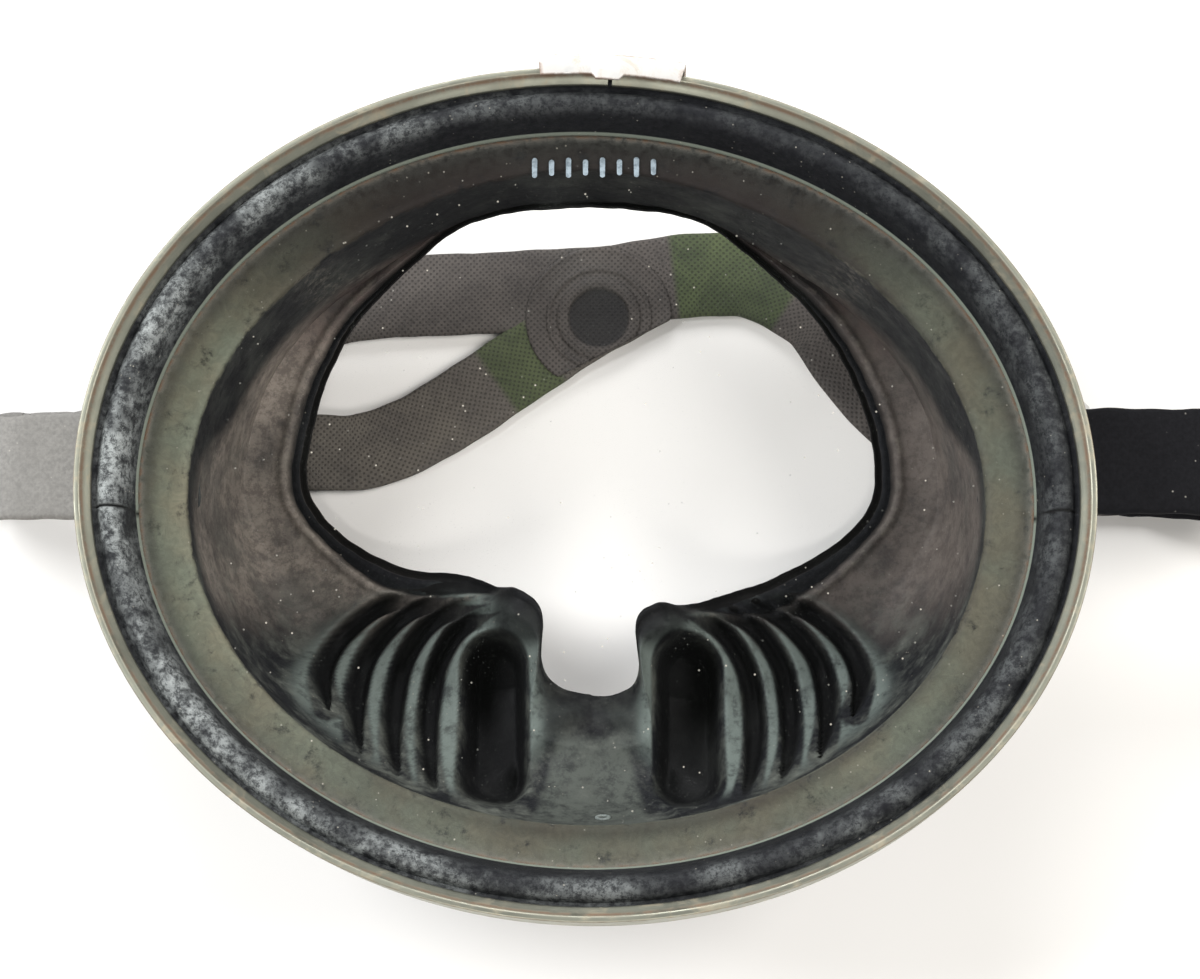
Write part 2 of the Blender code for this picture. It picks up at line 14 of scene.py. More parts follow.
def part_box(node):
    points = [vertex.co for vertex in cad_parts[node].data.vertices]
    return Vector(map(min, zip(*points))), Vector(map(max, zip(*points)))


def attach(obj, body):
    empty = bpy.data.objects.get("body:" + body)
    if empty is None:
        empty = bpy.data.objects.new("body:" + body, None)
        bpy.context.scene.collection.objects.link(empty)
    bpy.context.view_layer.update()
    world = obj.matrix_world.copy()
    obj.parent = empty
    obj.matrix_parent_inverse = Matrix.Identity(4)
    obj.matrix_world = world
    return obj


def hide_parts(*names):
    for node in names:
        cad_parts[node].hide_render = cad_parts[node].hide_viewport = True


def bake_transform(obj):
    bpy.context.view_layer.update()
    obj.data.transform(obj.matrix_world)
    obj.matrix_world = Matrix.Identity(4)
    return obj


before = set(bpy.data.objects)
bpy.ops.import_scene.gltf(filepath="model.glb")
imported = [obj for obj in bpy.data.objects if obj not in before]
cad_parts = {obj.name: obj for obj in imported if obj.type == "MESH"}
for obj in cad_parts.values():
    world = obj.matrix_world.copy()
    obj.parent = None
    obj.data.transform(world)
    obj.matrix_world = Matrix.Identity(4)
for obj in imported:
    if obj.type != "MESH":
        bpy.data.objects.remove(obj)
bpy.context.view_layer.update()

MM = 0.001

# ---- driving dimensions, from the frame


def box_mm(node):
    """Lowest and highest corner of a CAD node, in millimetres."""
    low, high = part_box(node)
    return np.array(low) / MM, np.array(high) / MM


LENS_LOW, LENS_HIGH = box_mm("lens")
BAND_LOW, BAND_HIGH = box_mm("band")
CLASP_LOW, CLASP_HIGH = box_mm("clasp_sleeve")
PIN_LOW, PIN_HIGH = box_mm("buckle_pin_right")
FRAME_LOW, FRAME_HIGH = box_mm("buckle_frame_right")
BAR_LOW, BAR_HIGH = box_mm("buckle_bar_right")

CENTRE_X = (LENS_LOW[0] + LENS_HIGH[0]) / 2.0
CENTRE_Y = (LENS_LOW[1] + LENS_HIGH[1]) / 2.0
HALF_WIDTH = (BAND_HIGH[0] - BAND_LOW[0]) / 2.0
HALF_HEIGHT = CENTRE_Y - BAND_LOW[1]
BAND_TOP = BAND_HIGH[2]
BAND_BOTTOM = BAND_LOW[2]
LENS_BOTTOM = LENS_LOW[2]
LENS_TOP = LENS_HIGH[2]
LENS_INSET = HALF_WIDTH - (LENS_HIGH[0] - LENS_LOW[0]) / 2.0
PIN_X = (PIN_LOW[0] + PIN_HIGH[0]) / 2.0 - CENTRE_X
PIN_Z = (PIN_LOW[2] + PIN_HIGH[2]) / 2.0
LUG_Y = (FRAME_LOW[1] + FRAME_HIGH[1]) / 2.0 - CENTRE_Y

# Rubber section, measured from a hub above the rim's centre; the real rim is slightly skewed.
HUB_Y = 18.0
RIM_SKEW = -0.0104
KNOB_LEAN = 2.0
LIP_INSET = 9.7
LIP_TOP = 53.3
SHELF_AT_SIDES = 17.7
SHELF_AT_TOP = 14.7
WALL = 3.0
EDGE_THICKNESS = 1.6
FIT = 0.3
BAND_LIP = 2.75
BAND_LIP_DROP = 2.1
BAND_SHEET = 0.8

# Sealing edge, right half, from forehead to lip: x and y from the rim's centre, height.
FACE_EDGE = (
    (0.0, 61.3, 28.0), (14.0, 60.6, 27.0), (24.0, 58.3, 25.0), (33.0, 52.8, 20.5), (44.0, 43.8, 14.0),
    (51.0, 33.8, 9.0), (55.0, 22.8, 6.6), (56.0, 11.8, 6.0), (53.0, 4.8, 5.4), (46.0, -1.2, 5.0),
    (36.0, -6.7, 7.5), (26.0, -9.7, 12.0), (18.0, -13.2, 20.0), (13.0, -14.4, 27.0), (9.4, -17.2, 28.0),
    (8.6, -21.2, 27.5), (9.2, -26.2, 24.0), (8.0, -29.7, 20.0), (4.5, -31.5, 17.5), (0.0, -32.0, 17.0),
)
# Turn of the flange: degrees of rise from the hub, width of the flange, height of the turn.
FLANGE_TURN = (
    (-90.0, 10.5, 22.0), (-80.0, 11.0, 21.0), (-65.0, 20.0, 15.0), (-50.0, 22.0, 7.5), (-35.0, 18.0, 3.0),
    (-20.0, 14.0, 3.0), (-6.0, 12.0, 5.6), (4.0, 12.0, 6.6), (20.0, 10.0, 7.6), (40.0, 5.0, 13.0),
    (60.0, 2.0, 22.0), (90.0, 1.2, 28.5),
)

# Strip of painted shade between the raised lip, which carries a painted highlight, and the sealing edge:
# degrees of rise from the hub, width.
EDGE_STRIP = (
    (-90.0, 0.0), (-68.0, 0.0), (-57.0, 2.5), (-44.0, 7.0), (-32.0, 6.5), (-20.0, 4.6), (0.0, 4.0),
    (20.0, 3.6), (40.0, 3.0), (60.0, 2.0), (90.0, 1.5),
)
# Bellows beside the nose, right half: each groove runs from the knob outward and down to its tip.
GROOVES = (
    ((17.0, -17.5), (24.5, -19.0), (29.5, -26.0), (31.0, -36.0), (30.0, -46.0), (27.8, -53.6)),
    ((19.0, -15.5), (29.5, -16.5), (36.0, -24.0), (37.8, -33.0), (37.2, -42.0), (34.9, -50.2)),
    ((22.0, -13.6), (34.5, -14.5), (42.5, -21.5), (45.0, -29.0), (44.5, -37.0), (42.4, -44.8)),
    ((29.0, -12.0), (41.0, -13.5), (48.5, -19.0), (51.5, -25.0), (51.3, -30.0), (49.3, -36.0)),
)
GROOVE_HALF_WIDTH = 2.55
WELL = ((18.4, -27.2), (18.2, -48.7))
WELL_RADIUS = 7.0
SEAM_Y = -4.5


# ---- curves and meshes


def smooth_path(points, steps, closed=False):
    """Catmull-Rom curve through a list of points."""
    corners = [np.array(point, float) for point in points]
    if closed:
        corners = [corners[-1], *corners, corners[0], corners[1]]
    else:
        corners = [2.0 * corners[0] - corners[1], *corners, 2.0 * corners[-1] - corners[-2]]
    result = []
    for before, start, end, after in zip(corners, corners[1:], corners[2:], corners[3:]):
        bend = 2.0 * before - 5.0 * start + 4.0 * end - after
        twist = 3.0 * start - before - 3.0 * end + after
        for t in np.arange(steps) / steps:
            result.append(0.5 * (2.0 * start + (end - before) * t + bend * t * t + twist * t**3))
    if not closed:
        result.append(corners[-2])
    return np.array(result)


def smoothstep(value, low, high):
    """0 below low, 1 above high, and a smooth rise between them."""
    share = np.clip((value - low) / (high - low), 0.0, 1.0)
    return share * share * (3.0 - 2.0 * share)


def near_value(values, middle, spread):
    """1 at a value, falling off as a bell on both sides."""
    return np.exp(-(((values - middle) / spread) ** 2))


def ripple(x, y, seed):
    """Gentle repeatable unevenness between -1 and 1."""
    total = np.zeros_like(np.asarray(x, float))
    for octave in range(4):
        turn = seed * 1.7 + octave * 2.3
        pitch = 0.11 * 1.9**octave
        total += np.sin(pitch * (x * math.cos(turn) + y * math.sin(turn)) + turn) / (octave + 1.5)
        total += np.sin(pitch * (y * math.cos(turn) - x * math.sin(turn)) * 1.3 - turn) / (octave + 1.5)
    return total / 3.0


def rim_reach(angle, inset):
    """Distance from the hub to the oval drawn inside the rim, along each direction."""
    half_width = HALF_WIDTH - inset
    half_height = HALF_HEIGHT - inset
    across = np.cos(angle) / half_width
    along = np.sin(angle) / half_height
    start = HUB_Y / half_height
    square = across * across + along * along
    cross = along * start
    return (-cross + np.sqrt(cross * cross - square * (start * start - 1.0))) / square


def polar(angle, reach, height):
    """Points at a distance and height on the rays that leave the hub, as x, y, z."""
    x = reach * np.cos(angle)
    y = HUB_Y + reach * np.sin(angle)
    return placed(x, y, np.broadcast_to(height, x.shape))


def placed(x, y, z):
    """Points of the slightly skewed mask, measured from the rim's centre, as x, y, z in the frame."""
    return np.stack([x + RIM_SKEW * y + CENTRE_X, y + RIM_SKEW * x + CENTRE_Y, z], axis=-1)


def new_piece(name, vertices, faces, material, body, uv=None, marks=None, closed=True):
    """Makes a mesh piece from millimetre points, smooth but for its end caps, on a body."""
    mesh = bpy.data.meshes.new(name)
    mesh.from_pydata((np.asarray(vertices) * MM).tolist(), [], faces)
    mesh.validate()
    for key, values in (marks or {}).items():
        layer = mesh.attributes.new(key, "FLOAT", "POINT")
        layer.data.foreach_set("value", np.asarray(values, np.float32).ravel())
    if uv is not None:
        layer = mesh.uv_layers.new(name="UVMap")
        corner = np.empty(len(mesh.loops), np.int32)
        mesh.loops.foreach_get("vertex_index", corner)
        layer.data.foreach_set("uv", np.asarray(uv, np.float32)[corner].ravel())
    for polygon in mesh.polygons:
        polygon.use_smooth = len(polygon.vertices) <= 4
    mesh.materials.append(material)
    if closed:
        data = bmesh.new()
        data.from_mesh(mesh)
        bmesh.ops.recalc_face_normals(data, faces=data.faces)
        data.to_mesh(mesh)
        data.free()
    item = bpy.data.objects.new(name, mesh)
    bpy.context.scene.collection.objects.link(item)
    if body:
        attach(item, body)
    return item


def sweep_faces(rows, columns, closed):
    """Quads of a swept closed section, with an end cap at each end unless the sweep is a ring."""
    faces = []
    for row in range(rows if closed else rows - 1):
        here = row * columns
        below = (row + 1) % rows * columns
        for column in range(columns):
            right = (column + 1) % columns
            faces.append((here + column, here + right, below + right, below + column))
    if not closed:
        faces.append(tuple(range(columns - 1, -1, -1)))
        faces.append(tuple(range((rows - 1) * columns, rows * columns)))
    return faces


# ---- materials


class Graph:
    """Short way to write a material's nodes."""

    def __init__(self, name):
        self.material = bpy.data.materials.new(name)
        self.material.use_nodes = True
        self.tree = self.material.node_tree
        self.shader = self.tree.nodes["Principled BSDF"]

    def node(self, kind, output, inputs, **settings):
        """A new node with its inputs fed, seen through one of its outputs."""
        made = self.tree.nodes.new("ShaderNode" + kind)
        for key, value in settings.items():
            setattr(made, key, value)
        for key, value in inputs.items():
            self.link(value, made.inputs[key])
        return made.outputs[output]

    def link(self, source, target):
        """Joins two sockets, or sets the target if the source is a plain value or colour."""
        if isinstance(source, bpy.types.NodeSocket):
            self.tree.links.new(source, target)
        elif isinstance(source, tuple):
            target.default_value = (*source, 1.0)
        else:
            target.default_value = source

    def put(self, socket, source):
        """Feeds one input of the Principled shader."""
        self.link(source, self.shader.inputs[socket])

    def mark(self, name):
        """Value painted on the mesh under a name."""
        return self.node("Attribute", "Fac", {}, attribute_name=name)

    def math(self, operation, first, second=0.0, clamp=False):
        """One arithmetic step."""
        return self.node("Math", 0, {0: first, 1: second}, operation=operation, use_clamp=clamp)

    def times(self, first, second):
        """Product of two values."""
        return self.math("MULTIPLY", first, second)

    def texture(self, kind, output, **inputs):
        """A texture over the object's coordinates, in features per metre."""
        inputs["Vector"] = self.node("TexCoord", "Object", {})
        return self.node(kind, output, inputs)

    def noise(self, scale, detail=4.0, rough=0.6, distortion=0.0):
        """Cloudy noise."""
        settings = {"Scale": scale, "Detail": detail, "Roughness": rough, "Distortion": distortion}
        return self.texture("TexNoise", "Fac", **settings)

    def cells(self, scale):
        """Distance to the nearest cell point."""
        return self.texture("TexVoronoi", "Distance", Scale=scale)

    def range(self, value, low, high, to_low=0.0, to_high=1.0, smooth=True):
        """Maps one range of a value to another."""
        inputs = {"Value": value, "From Min": low, "From Max": high, "To Min": to_low, "To Max": to_high}
        curve = "SMOOTHSTEP" if smooth else "LINEAR"
        return self.node("MapRange", "Result", inputs, interpolation_type=curve)

    def mix(self, share, first, second):
        """Blend of two colours."""
        return self.node("Mix", 2, {"Factor": share, 6: first, 7: second}, data_type="RGBA")

    def bump(self, height, strength, distance, under=None):
        """Relief in metres."""
        inputs = {"Height": height, "Strength": strength, "Distance": distance}
        if under is not None:
            inputs["Normal"] = under
        return self.node("Bump", "Normal", inputs)


def skirt_rubber():
    """Black moulded rubber with grey bloom and an olive shelf; the brown low on the walls is painted
    reflection and light, and shade and highlights are painted into the colour too.
    """
    g = Graph("skirt_rubber")
    blotch = g.noise(170.0, 8.0, 0.70, distortion=0.2)
    cloud = g.noise(45.0, 5.0, 0.6)
    fine = g.noise(900.0, 6.0, 0.7)
    speck = g.cells(620.0)
    colour = g.mix(g.range(fine, 0.35, 0.75), (0.004, 0.0045, 0.006), (0.012, 0.0125, 0.0145))
    # Painted reflection and light: brown low on the inner walls, turning purple-brown under the brow, stands
    # in for the brown reflection in the glass and the lit lower walls.
    brown = g.mix(g.mark("brow"), (0.125, 0.106, 0.093), (0.058, 0.040, 0.036))
    # Painted light: the brown turns paler on the left walls, where little light reaches them.
    left_painted_light = g.mix(g.mark("brow"), (0.27, 0.235, 0.20), (0.12, 0.088, 0.08))
    brown = g.mix(g.times(g.mark("left"), 0.8), brown, left_painted_light)
    grime = g.range(g.noise(380.0, 10.0, 0.85), 0.44, 0.58, 0.0, 0.6)
    brown = g.mix(grime, brown, (0.062, 0.051, 0.046))
    brown = g.mix(g.range(g.noise(75.0, 6.0, 0.7), 0.46, 0.62, 0.0, 0.5), brown, (0.035, 0.032, 0.034))
    painted_brown_light = g.times(g.mark("painted_brown_light"), g.range(cloud, 0.28, 0.62, 0.45, 1.0))
    colour = g.mix(painted_brown_light, colour, brown)
    haze = g.times(g.mark("haze"), g.range(g.noise(80.0, 8.0, 0.72), 0.42, 0.74))
    colour = g.mix(haze, colour, (0.118, 0.126, 0.108))
    panel = g.times(g.mark("panel"), g.range(g.noise(300.0, 9.0, 0.8), 0.40, 0.58, 0.35, 1.0))
    colour = g.mix(panel, colour, (0.058, 0.064, 0.056))
    olive_edge = g.math("ADD", g.mark("olive"), g.range(blotch, 0.3, 0.7, -0.50, 0.32, False))
    olive_edge = g.math("ADD", olive_edge, g.range(g.noise(460.0, 10.0, 0.85), 0.3, 0.7, -0.3, 0.3, False))
    olive = g.times(g.range(olive_edge, 0.3, 0.8), g.range(cloud, 0.25, 0.6, 0.75, 1.0))
    olive_colour = g.mix(g.range(g.noise(60.0), 0.35, 0.65), (0.165, 0.155, 0.108), (0.150, 0.165, 0.122))
    streak = g.range(g.noise(420.0, 8.0, 0.75, distortion=1.5), 0.36, 0.66, 0.45, 1.0)
    olive_colour = g.mix(g.range(streak, 0.45, 1.0, 0.35, 0.0, False), olive_colour, (0.05, 0.05, 0.04))
    # Olive darkened where the dim mark lies; at the bottom this is painted shade.
    olive_colour = g.mix(g.mark("dim"), olive_colour, (0.014, 0.010, 0.010))
    colour = g.mix(olive, colour, olive_colour)
    crest = g.times(g.mark("crest"), g.range(g.noise(260.0, 7.0, 0.75), 0.32, 0.54, 0.3, 1.0))
    colour = g.mix(crest, colour, (0.108, 0.128, 0.116))
    lit = g.times(g.mark("lit"), g.range(g.noise(420.0, 7.0, 0.75), 0.46, 0.68))
    colour = g.mix(g.times(lit, 0.55), colour, (0.17, 0.155, 0.13))
    bloom_cover = g.times(g.mark("bloom"), g.range(blotch, 0.36, 0.56, 0.10, 1.0))
    bloom_cover = g.times(bloom_cover, g.range(g.noise(75.0, 4.0, 0.6), 0.36, 0.58, 0.25, 1.0))
    mottle = g.range(g.noise(700.0, 10.0, 0.85), 0.42, 0.56, 0.15, 1.0)
    bloom_cover = g.times(bloom_cover, mottle)
    colour = g.mix(bloom_cover, colour, (0.285, 0.302, 0.296))
    colour = g.mix(g.mark("lip"), colour, (0.24, 0.27, 0.22))
    dust = g.times(g.range(speck, 0.12, 0.05), g.range(g.noise(130.0), 0.50, 0.60))
    colour = g.mix(g.times(dust, 0.6), colour, (0.34, 0.32, 0.27))
    # Painted shade: near black wherever the shade mark lies.
    black = g.mix(g.range(blotch, 0.55, 0.75, 0.0, 0.6), (0.0015, 0.0015, 0.002), (0.012, 0.012, 0.012))
    colour = g.mix(g.mark("shade"), colour, black)
    colour = g.mix(g.mark("seam"), colour, (0.004, 0.004, 0.004))
    g.put("Base Color", colour)
    rough = g.range(blotch, 0.3, 0.7, 0.5, 0.78, False)
    g.put("Roughness", g.math("ADD", rough, g.times(bloom_cover, 0.15), clamp=True))
    g.put("Specular IOR Level", 0.13)
    relief = g.bump(g.noise(260.0, 8.0, 0.7), 0.35, 0.0005)
    g.put("Normal", g.bump(fine, 0.25, 0.00012, relief))
    return g.material


def lens_glass():
    """Clear tempered glass with a faint green body, smears, dust and a dirty line at the lip."""
    g = Graph("lens_glass")
    smear = g.range(g.noise(26.0, 6.0, 0.65, distortion=1.2), 0.45, 0.75)
    speck = g.range(g.cells(330.0), 0.085, 0.035)
    speck = g.times(speck, g.range(g.noise(90.0, 3.0), 0.46, 0.56))
    grit = g.range(g.cells(1100.0), 0.12, 0.05)
    grit = g.times(grit, g.range(g.noise(60.0, 4.0), 0.44, 0.62, 0.0, 0.55))
    dirt = g.times(g.mark("dirt"), g.range(g.noise(500.0, 5.0, 0.7), 0.32, 0.6, 0.25, 1.0))
    alpha = g.math("ADD", g.range(smear, 0.0, 1.0, 0.002, 0.010), g.times(speck, 0.5))
    alpha = g.math("ADD", alpha, g.times(grit, 0.25))
    alpha = g.math("ADD", alpha, g.times(dirt, 0.8), clamp=True)
    colour = g.mix(speck, (0.30, 0.32, 0.29), (0.55, 0.50, 0.42))
    colour = g.mix(dirt, colour, (0.16, 0.095, 0.06))
    g.put("Base Color", colour)
    g.put("Alpha", alpha)
    g.put("Roughness", g.range(smear, 0.0, 1.0, 0.04, 0.16, False))
    g.put("IOR", 1.52)
    return g.material


def worn_steel(name, base, rust_share):
    """Stainless sheet with fine rolling marks, dull patches and rust by its edges."""
    g = Graph(name)
    patch = g.noise(70.0, 5.0, 0.6)
    fine = g.noise(1500.0, 4.0, 0.6)
    stain = g.range(g.noise(190.0, 8.0, 0.72, distortion=0.8), 0.50, 0.70)
    colour = g.mix(g.range(patch, 0.3, 0.7), base, tuple(0.82 * value for value in base))
    colour = g.mix(g.times(stain, 0.55), colour, (0.42, 0.36, 0.26))
    rust = g.times(g.mark("rust"), g.range(g.noise(330.0, 7.0, 0.7), 0.34, 0.58, 0.15, 1.0))
    rust = g.times(rust, rust_share)
    colour = g.mix(rust, colour, (0.150, 0.068, 0.030))
    g.put("Base Color", colour)
    g.put("Metallic", g.math("SUBTRACT", 1.0, g.times(rust, 0.9), clamp=True))
    rough = g.math("ADD", g.range(patch, 0.3, 0.7, 0.40, 0.56), g.times(rust, 0.45))
    g.put("Roughness", g.math("ADD", rough, g.times(stain, 0.12), clamp=True))
    relief = g.bump(g.noise(120.0, 4.0, 0.5), 0.20, 0.0006)
    g.put("Normal", g.bump(fine, 0.12, 0.00005, relief))
    return g.material


def strap_rubber(name, base, dust, dimples, dust_colour, shine=0.2):
    """Rubber strap with a grid of fine dimples, with dust on top."""
    g = Graph(name)
    flat = g.node("TexCoord", "UV", {})
    pitch = 0.00125
    waves = []
    for axis in (0, 1):
        distance = g.node("SeparateXYZ", axis, {0: flat})
        waves.append(g.math("SINE", g.times(distance, 2.0 * math.pi / pitch)))
    dimple = g.range(g.times(*waves), 0.1, 0.8)
    cloud = g.range(g.noise(80.0, 7.0, 0.68, distortion=0.5), 0.32, 0.68)
    fine = g.noise(1200.0, 5.0, 0.65)
    colour = g.mix(g.range(fine, 0.3, 0.7), base, tuple(1.5 * value for value in base))
    colour = g.mix(g.times(cloud, dust), colour, dust_colour)
    green = g.mix(cloud, (0.022, 0.036, 0.012), (0.060, 0.085, 0.030))
    colour = g.mix(g.times(g.mark("green"), 0.75), colour, green)
    colour = g.mix(g.times(dimple, 0.55 * dimples), colour, tuple(0.35 * v for v in base))
    speck = g.times(g.range(g.cells(480.0), 0.12, 0.05), g.range(g.noise(150.0), 0.56, 0.64))
    colour = g.mix(g.times(speck, 0.6), colour, (0.45, 0.43, 0.38))
    colour = g.mix(g.times(g.mark("dark"), 0.8), colour, (0.010, 0.010, 0.011))
    g.put("Base Color", colour)
    g.put("Roughness", g.range(cloud, 0.0, 1.0, 0.55, 0.8, False))
    g.put("Specular IOR Level", shine)
    relief = g.bump(g.times(dimple, -1.0 * dimples), 0.6, 0.0002)
    g.put("Normal", g.bump(fine, 0.2, 0.0001, relief))
    return g.material


def print_white():
    """Pale fired-on print on the glass."""
    g = Graph("lens_print")
    wear = g.noise(900.0, 6.0, 0.7)
    g.put("Base Color", g.mix(g.range(wear, 0.35, 0.6), (0.16, 0.20, 0.23), (0.33, 0.40, 0.45)))
    g.put("Roughness", g.range(wear, 0.3, 0.7, 0.35, 0.6, False))
    return g.material


def floor_cloth():
    """Plain pale table surface."""
    g = Graph("floor_cloth")
    soft = g.noise(5.0, 3.0, 0.5)
    g.put("Base Color", g.mix(g.range(soft, 0.3, 0.7), (0.755, 0.735, 0.70), (0.80, 0.785, 0.765)))
    g.put("Roughness", 0.9)
    return g.material


# ---- camera, light and floor


def build_stage():
    """Pale floor and soft light from four sides."""
    half = 1500.0
    corners = [(-half, -half, 0.0), (half, -half, 0.0), (half, half, 0.0), (-half, half, 0.0)]
    floor = new_piece("floor", corners, [(0, 1, 2, 3)], floor_cloth(), None, closed=False)
    world = bpy.data.worlds.new("studio")
    bpy.context.scene.world = world
    world.use_nodes = True
    background = world.node_tree.nodes["Background"]
    background.inputs["Color"].default_value = (0.93, 0.96, 1.0, 1.0)
    background.inputs["Strength"].default_value = 0.22
    lamps = (
        ("left_panel", (-1.30, 0.55, 1.25), 1.1, 41.0, (0.96, 0.98, 1.0)),
        ("right_panel", (1.35, 0.30, 1.30), 1.1, 31.0, (1.0, 0.98, 0.95)),
        ("near_panel", (-0.15, -1.45, 1.25), 1.0, 22.0, (1.0, 0.98, 0.95)),
        ("far_panel", (-0.10, 1.75, 1.20), 1.0, 32.0, (0.97, 0.98, 1.0)),
    )
    for name, location, size, power, colour in lamps:
        light = bpy.data.lights.new(name, "AREA")
        light.shape = "DISK"
        light.size = size
        light.energy = power
        light.color = colour
        lamp = bpy.data.objects.new(name, light)
        lamp.location = location
        lamp.rotation_euler = (-Vector(location)).to_track_quat("-Z", "Y").to_euler()
        bpy.context.scene.collection.objects.link(lamp)
    bpy.context.scene.view_settings.view_transform = "Standard"


def build_camera():
    """Camera above the mask, a little toward the chin and the right."""
    stand = Vector((14.0, -98.0, 460.0))
    rim = Vector((CENTRE_X, CENTRE_Y, BAND_TOP))
    aim = rim + Vector((3.05, -1.67, 0.0))
    eye = rim + stand
    ahead = (aim - eye).normalized()
    right = ahead.cross(Vector((0.0, 1.0, 0.0))).normalized()
    up = right.cross(ahead)
    turn = Matrix((right, up, -ahead)).transposed().to_4x4()
    data = bpy.data.cameras.new("photo_camera")
    data.sensor_width = 36.0
    data.lens = 80.4
    data.clip_start = 0.01
    data.clip_end = 20.0
    camera = bpy.data.objects.new("photo_camera", data)
    camera.matrix_world = Matrix.Translation(eye * MM) @ turn
    bpy.context.scene.collection.objects.link(camera)
    bpy.context.scene.camera = camera


# ---- skirt


def column_angles(count, seam_columns=True):
    """Directions of the columns, closer together round the nose and at the mould seams."""
    steps = np.arange(count) / count
    even = 2.0 * math.pi * steps
    angles = -math.pi / 2.0 + even - 0.45 * np.sin(even)
    if seam_columns:
        extra = []
        for side in (1.0, -1.0):
            seam = math.atan2(SEAM_Y - HUB_Y, side * (HALF_WIDTH - 6.0))
            extra.extend(seam + shift for shift in (-0.006, -0.004, -0.0022, 0.0, 0.0022, 0.004, 0.006))
        extra = np.mod(np.array(extra) + math.pi / 2.0, 2.0 * math.pi) - math.pi / 2.0
        gaps = np.abs(angles[:, None] - extra[None, :]).min(axis=1)
        angles = np.sort(np.concatenate([angles[gaps > 0.0016], extra]))
    return angles


def face_edge(angles):
    """Reach and height of the sealing edge in each direction."""
    left = [(-x, y, z) for x, y, z in FACE_EDGE[1:-1]]
    loop = smooth_path(list(FACE_EDGE) + list(reversed(left)), 12, closed=True)
    beside_nose = near_value(np.abs(loop[:, 0]), 22.0, 13.0)
    loop[:, 1] -= KNOB_LEAN * np.sign(loop[:, 0]) * beside_nose * (loop[:, 1] < 10.0)
    turn = np.arctan2(loop[:, 1] - HUB_Y, loop[:, 0])
    reach = np.hypot(loop[:, 0], loop[:, 1] - HUB_Y)
    full = 2.0 * math.pi
    return [np.interp(angles, turn, values, period=full) for values in (reach, loop[:, 2])]


def by_rise(angles, stations, spread=0.09):
    """Values stated at degrees of rise from the hub, one list per column, smooth round the mask."""
    rise = np.degrees(np.arcsin(np.clip(np.sin(angles), -1.0, 1.0)))
    columns = np.array(stations).T
    return [soften(np.interp(rise, columns[0], column), angles, spread) for column in columns[1:]]


def soften(values, angles, spread):
    """Averages a value that depends on direction over its neighbours."""
    result = np.empty_like(values)
    for index, angle in enumerate(angles):
        gap = np.abs(np.mod(angles - angle + math.pi, 2.0 * math.pi) - math.pi)
        weight = np.exp(-((gap / spread) ** 2))
        result[index] = np.sum(weight * values) / np.sum(weight)
    return result


def line_distance(x, y, line):
    """Distance from each point to a polyline and how far along it the nearest place is, 0 to 1."""
    best = np.full(x.shape, 1e9)
    share = np.zeros(x.shape)
    count = len(line) - 1
    for index, (start, end) in enumerate(zip(line, line[1:])):
        step_x, step_y = end - start
        off_x = x - start[0]
        off_y = y - start[1]
        along = (off_x * step_x + off_y * step_y) / (step_x**2 + step_y**2)
        along = np.clip(along, 0.0, 1.0)
        gap = np.hypot(off_x - along * step_x, off_y - along * step_y)
        closer = gap < best
        best = np.where(closer, gap, best)
        share = np.where(closer, (index + along) / count, share)
    return best, share


def bellows(x, y):
    """Relief beside the nose: depth of the grooves and wells, their insides painted dark as shade, and pale
    crests.
    """
    side = np.abs(x)
    sink = np.zeros(x.shape)
    shade = np.zeros(x.shape)
    nearest = np.full(x.shape, 1e9)
    for points in GROOVES:
        gap, along = line_distance(side, y, smooth_path(points, 6))
        taper = np.clip((1.0 - along) / 0.35, 0.02, 1.0) ** 0.6
        share = gap / (GROOVE_HALF_WIDTH * taper)
        start = smoothstep(along, 0.0, 0.22)
        sink = np.maximum(sink, 5.0 * (1.0 - smoothstep(share, 0.35, 1.0)) * start)
        shade = np.maximum(shade, (1.0 - smoothstep(share, 0.55, 1.0)) * start)
        nearest = np.minimum(nearest, gap / GROOVE_HALF_WIDTH + 0.9 * (1.0 - start))
    well_gap, _ = line_distance(side, y, smooth_path(WELL, 2))
    share = well_gap / WELL_RADIUS
    sink = np.maximum(sink, 12.0 * (1.0 - smoothstep(share, 0.5, 1.02)))
    shade = np.maximum(shade, 1.0 - smoothstep(share, 0.72, 0.98))
    nearest = np.minimum(nearest, 1.0 + (well_gap - WELL_RADIUS) / GROOVE_HALF_WIDTH)
    field, _ = line_distance(side, y, smooth_path(((17.0, -24.0), (29.0, -34.0), (38.0, -31.0)), 4))
    inside = 1.0 - smoothstep(field, 16.0, 22.0)
    crest = smoothstep(nearest, 0.86, 1.08) * (1.0 - 0.6 * smoothstep(nearest, 1.5, 2.4)) * inside
    return sink, 2.6 * inside, crest, shade


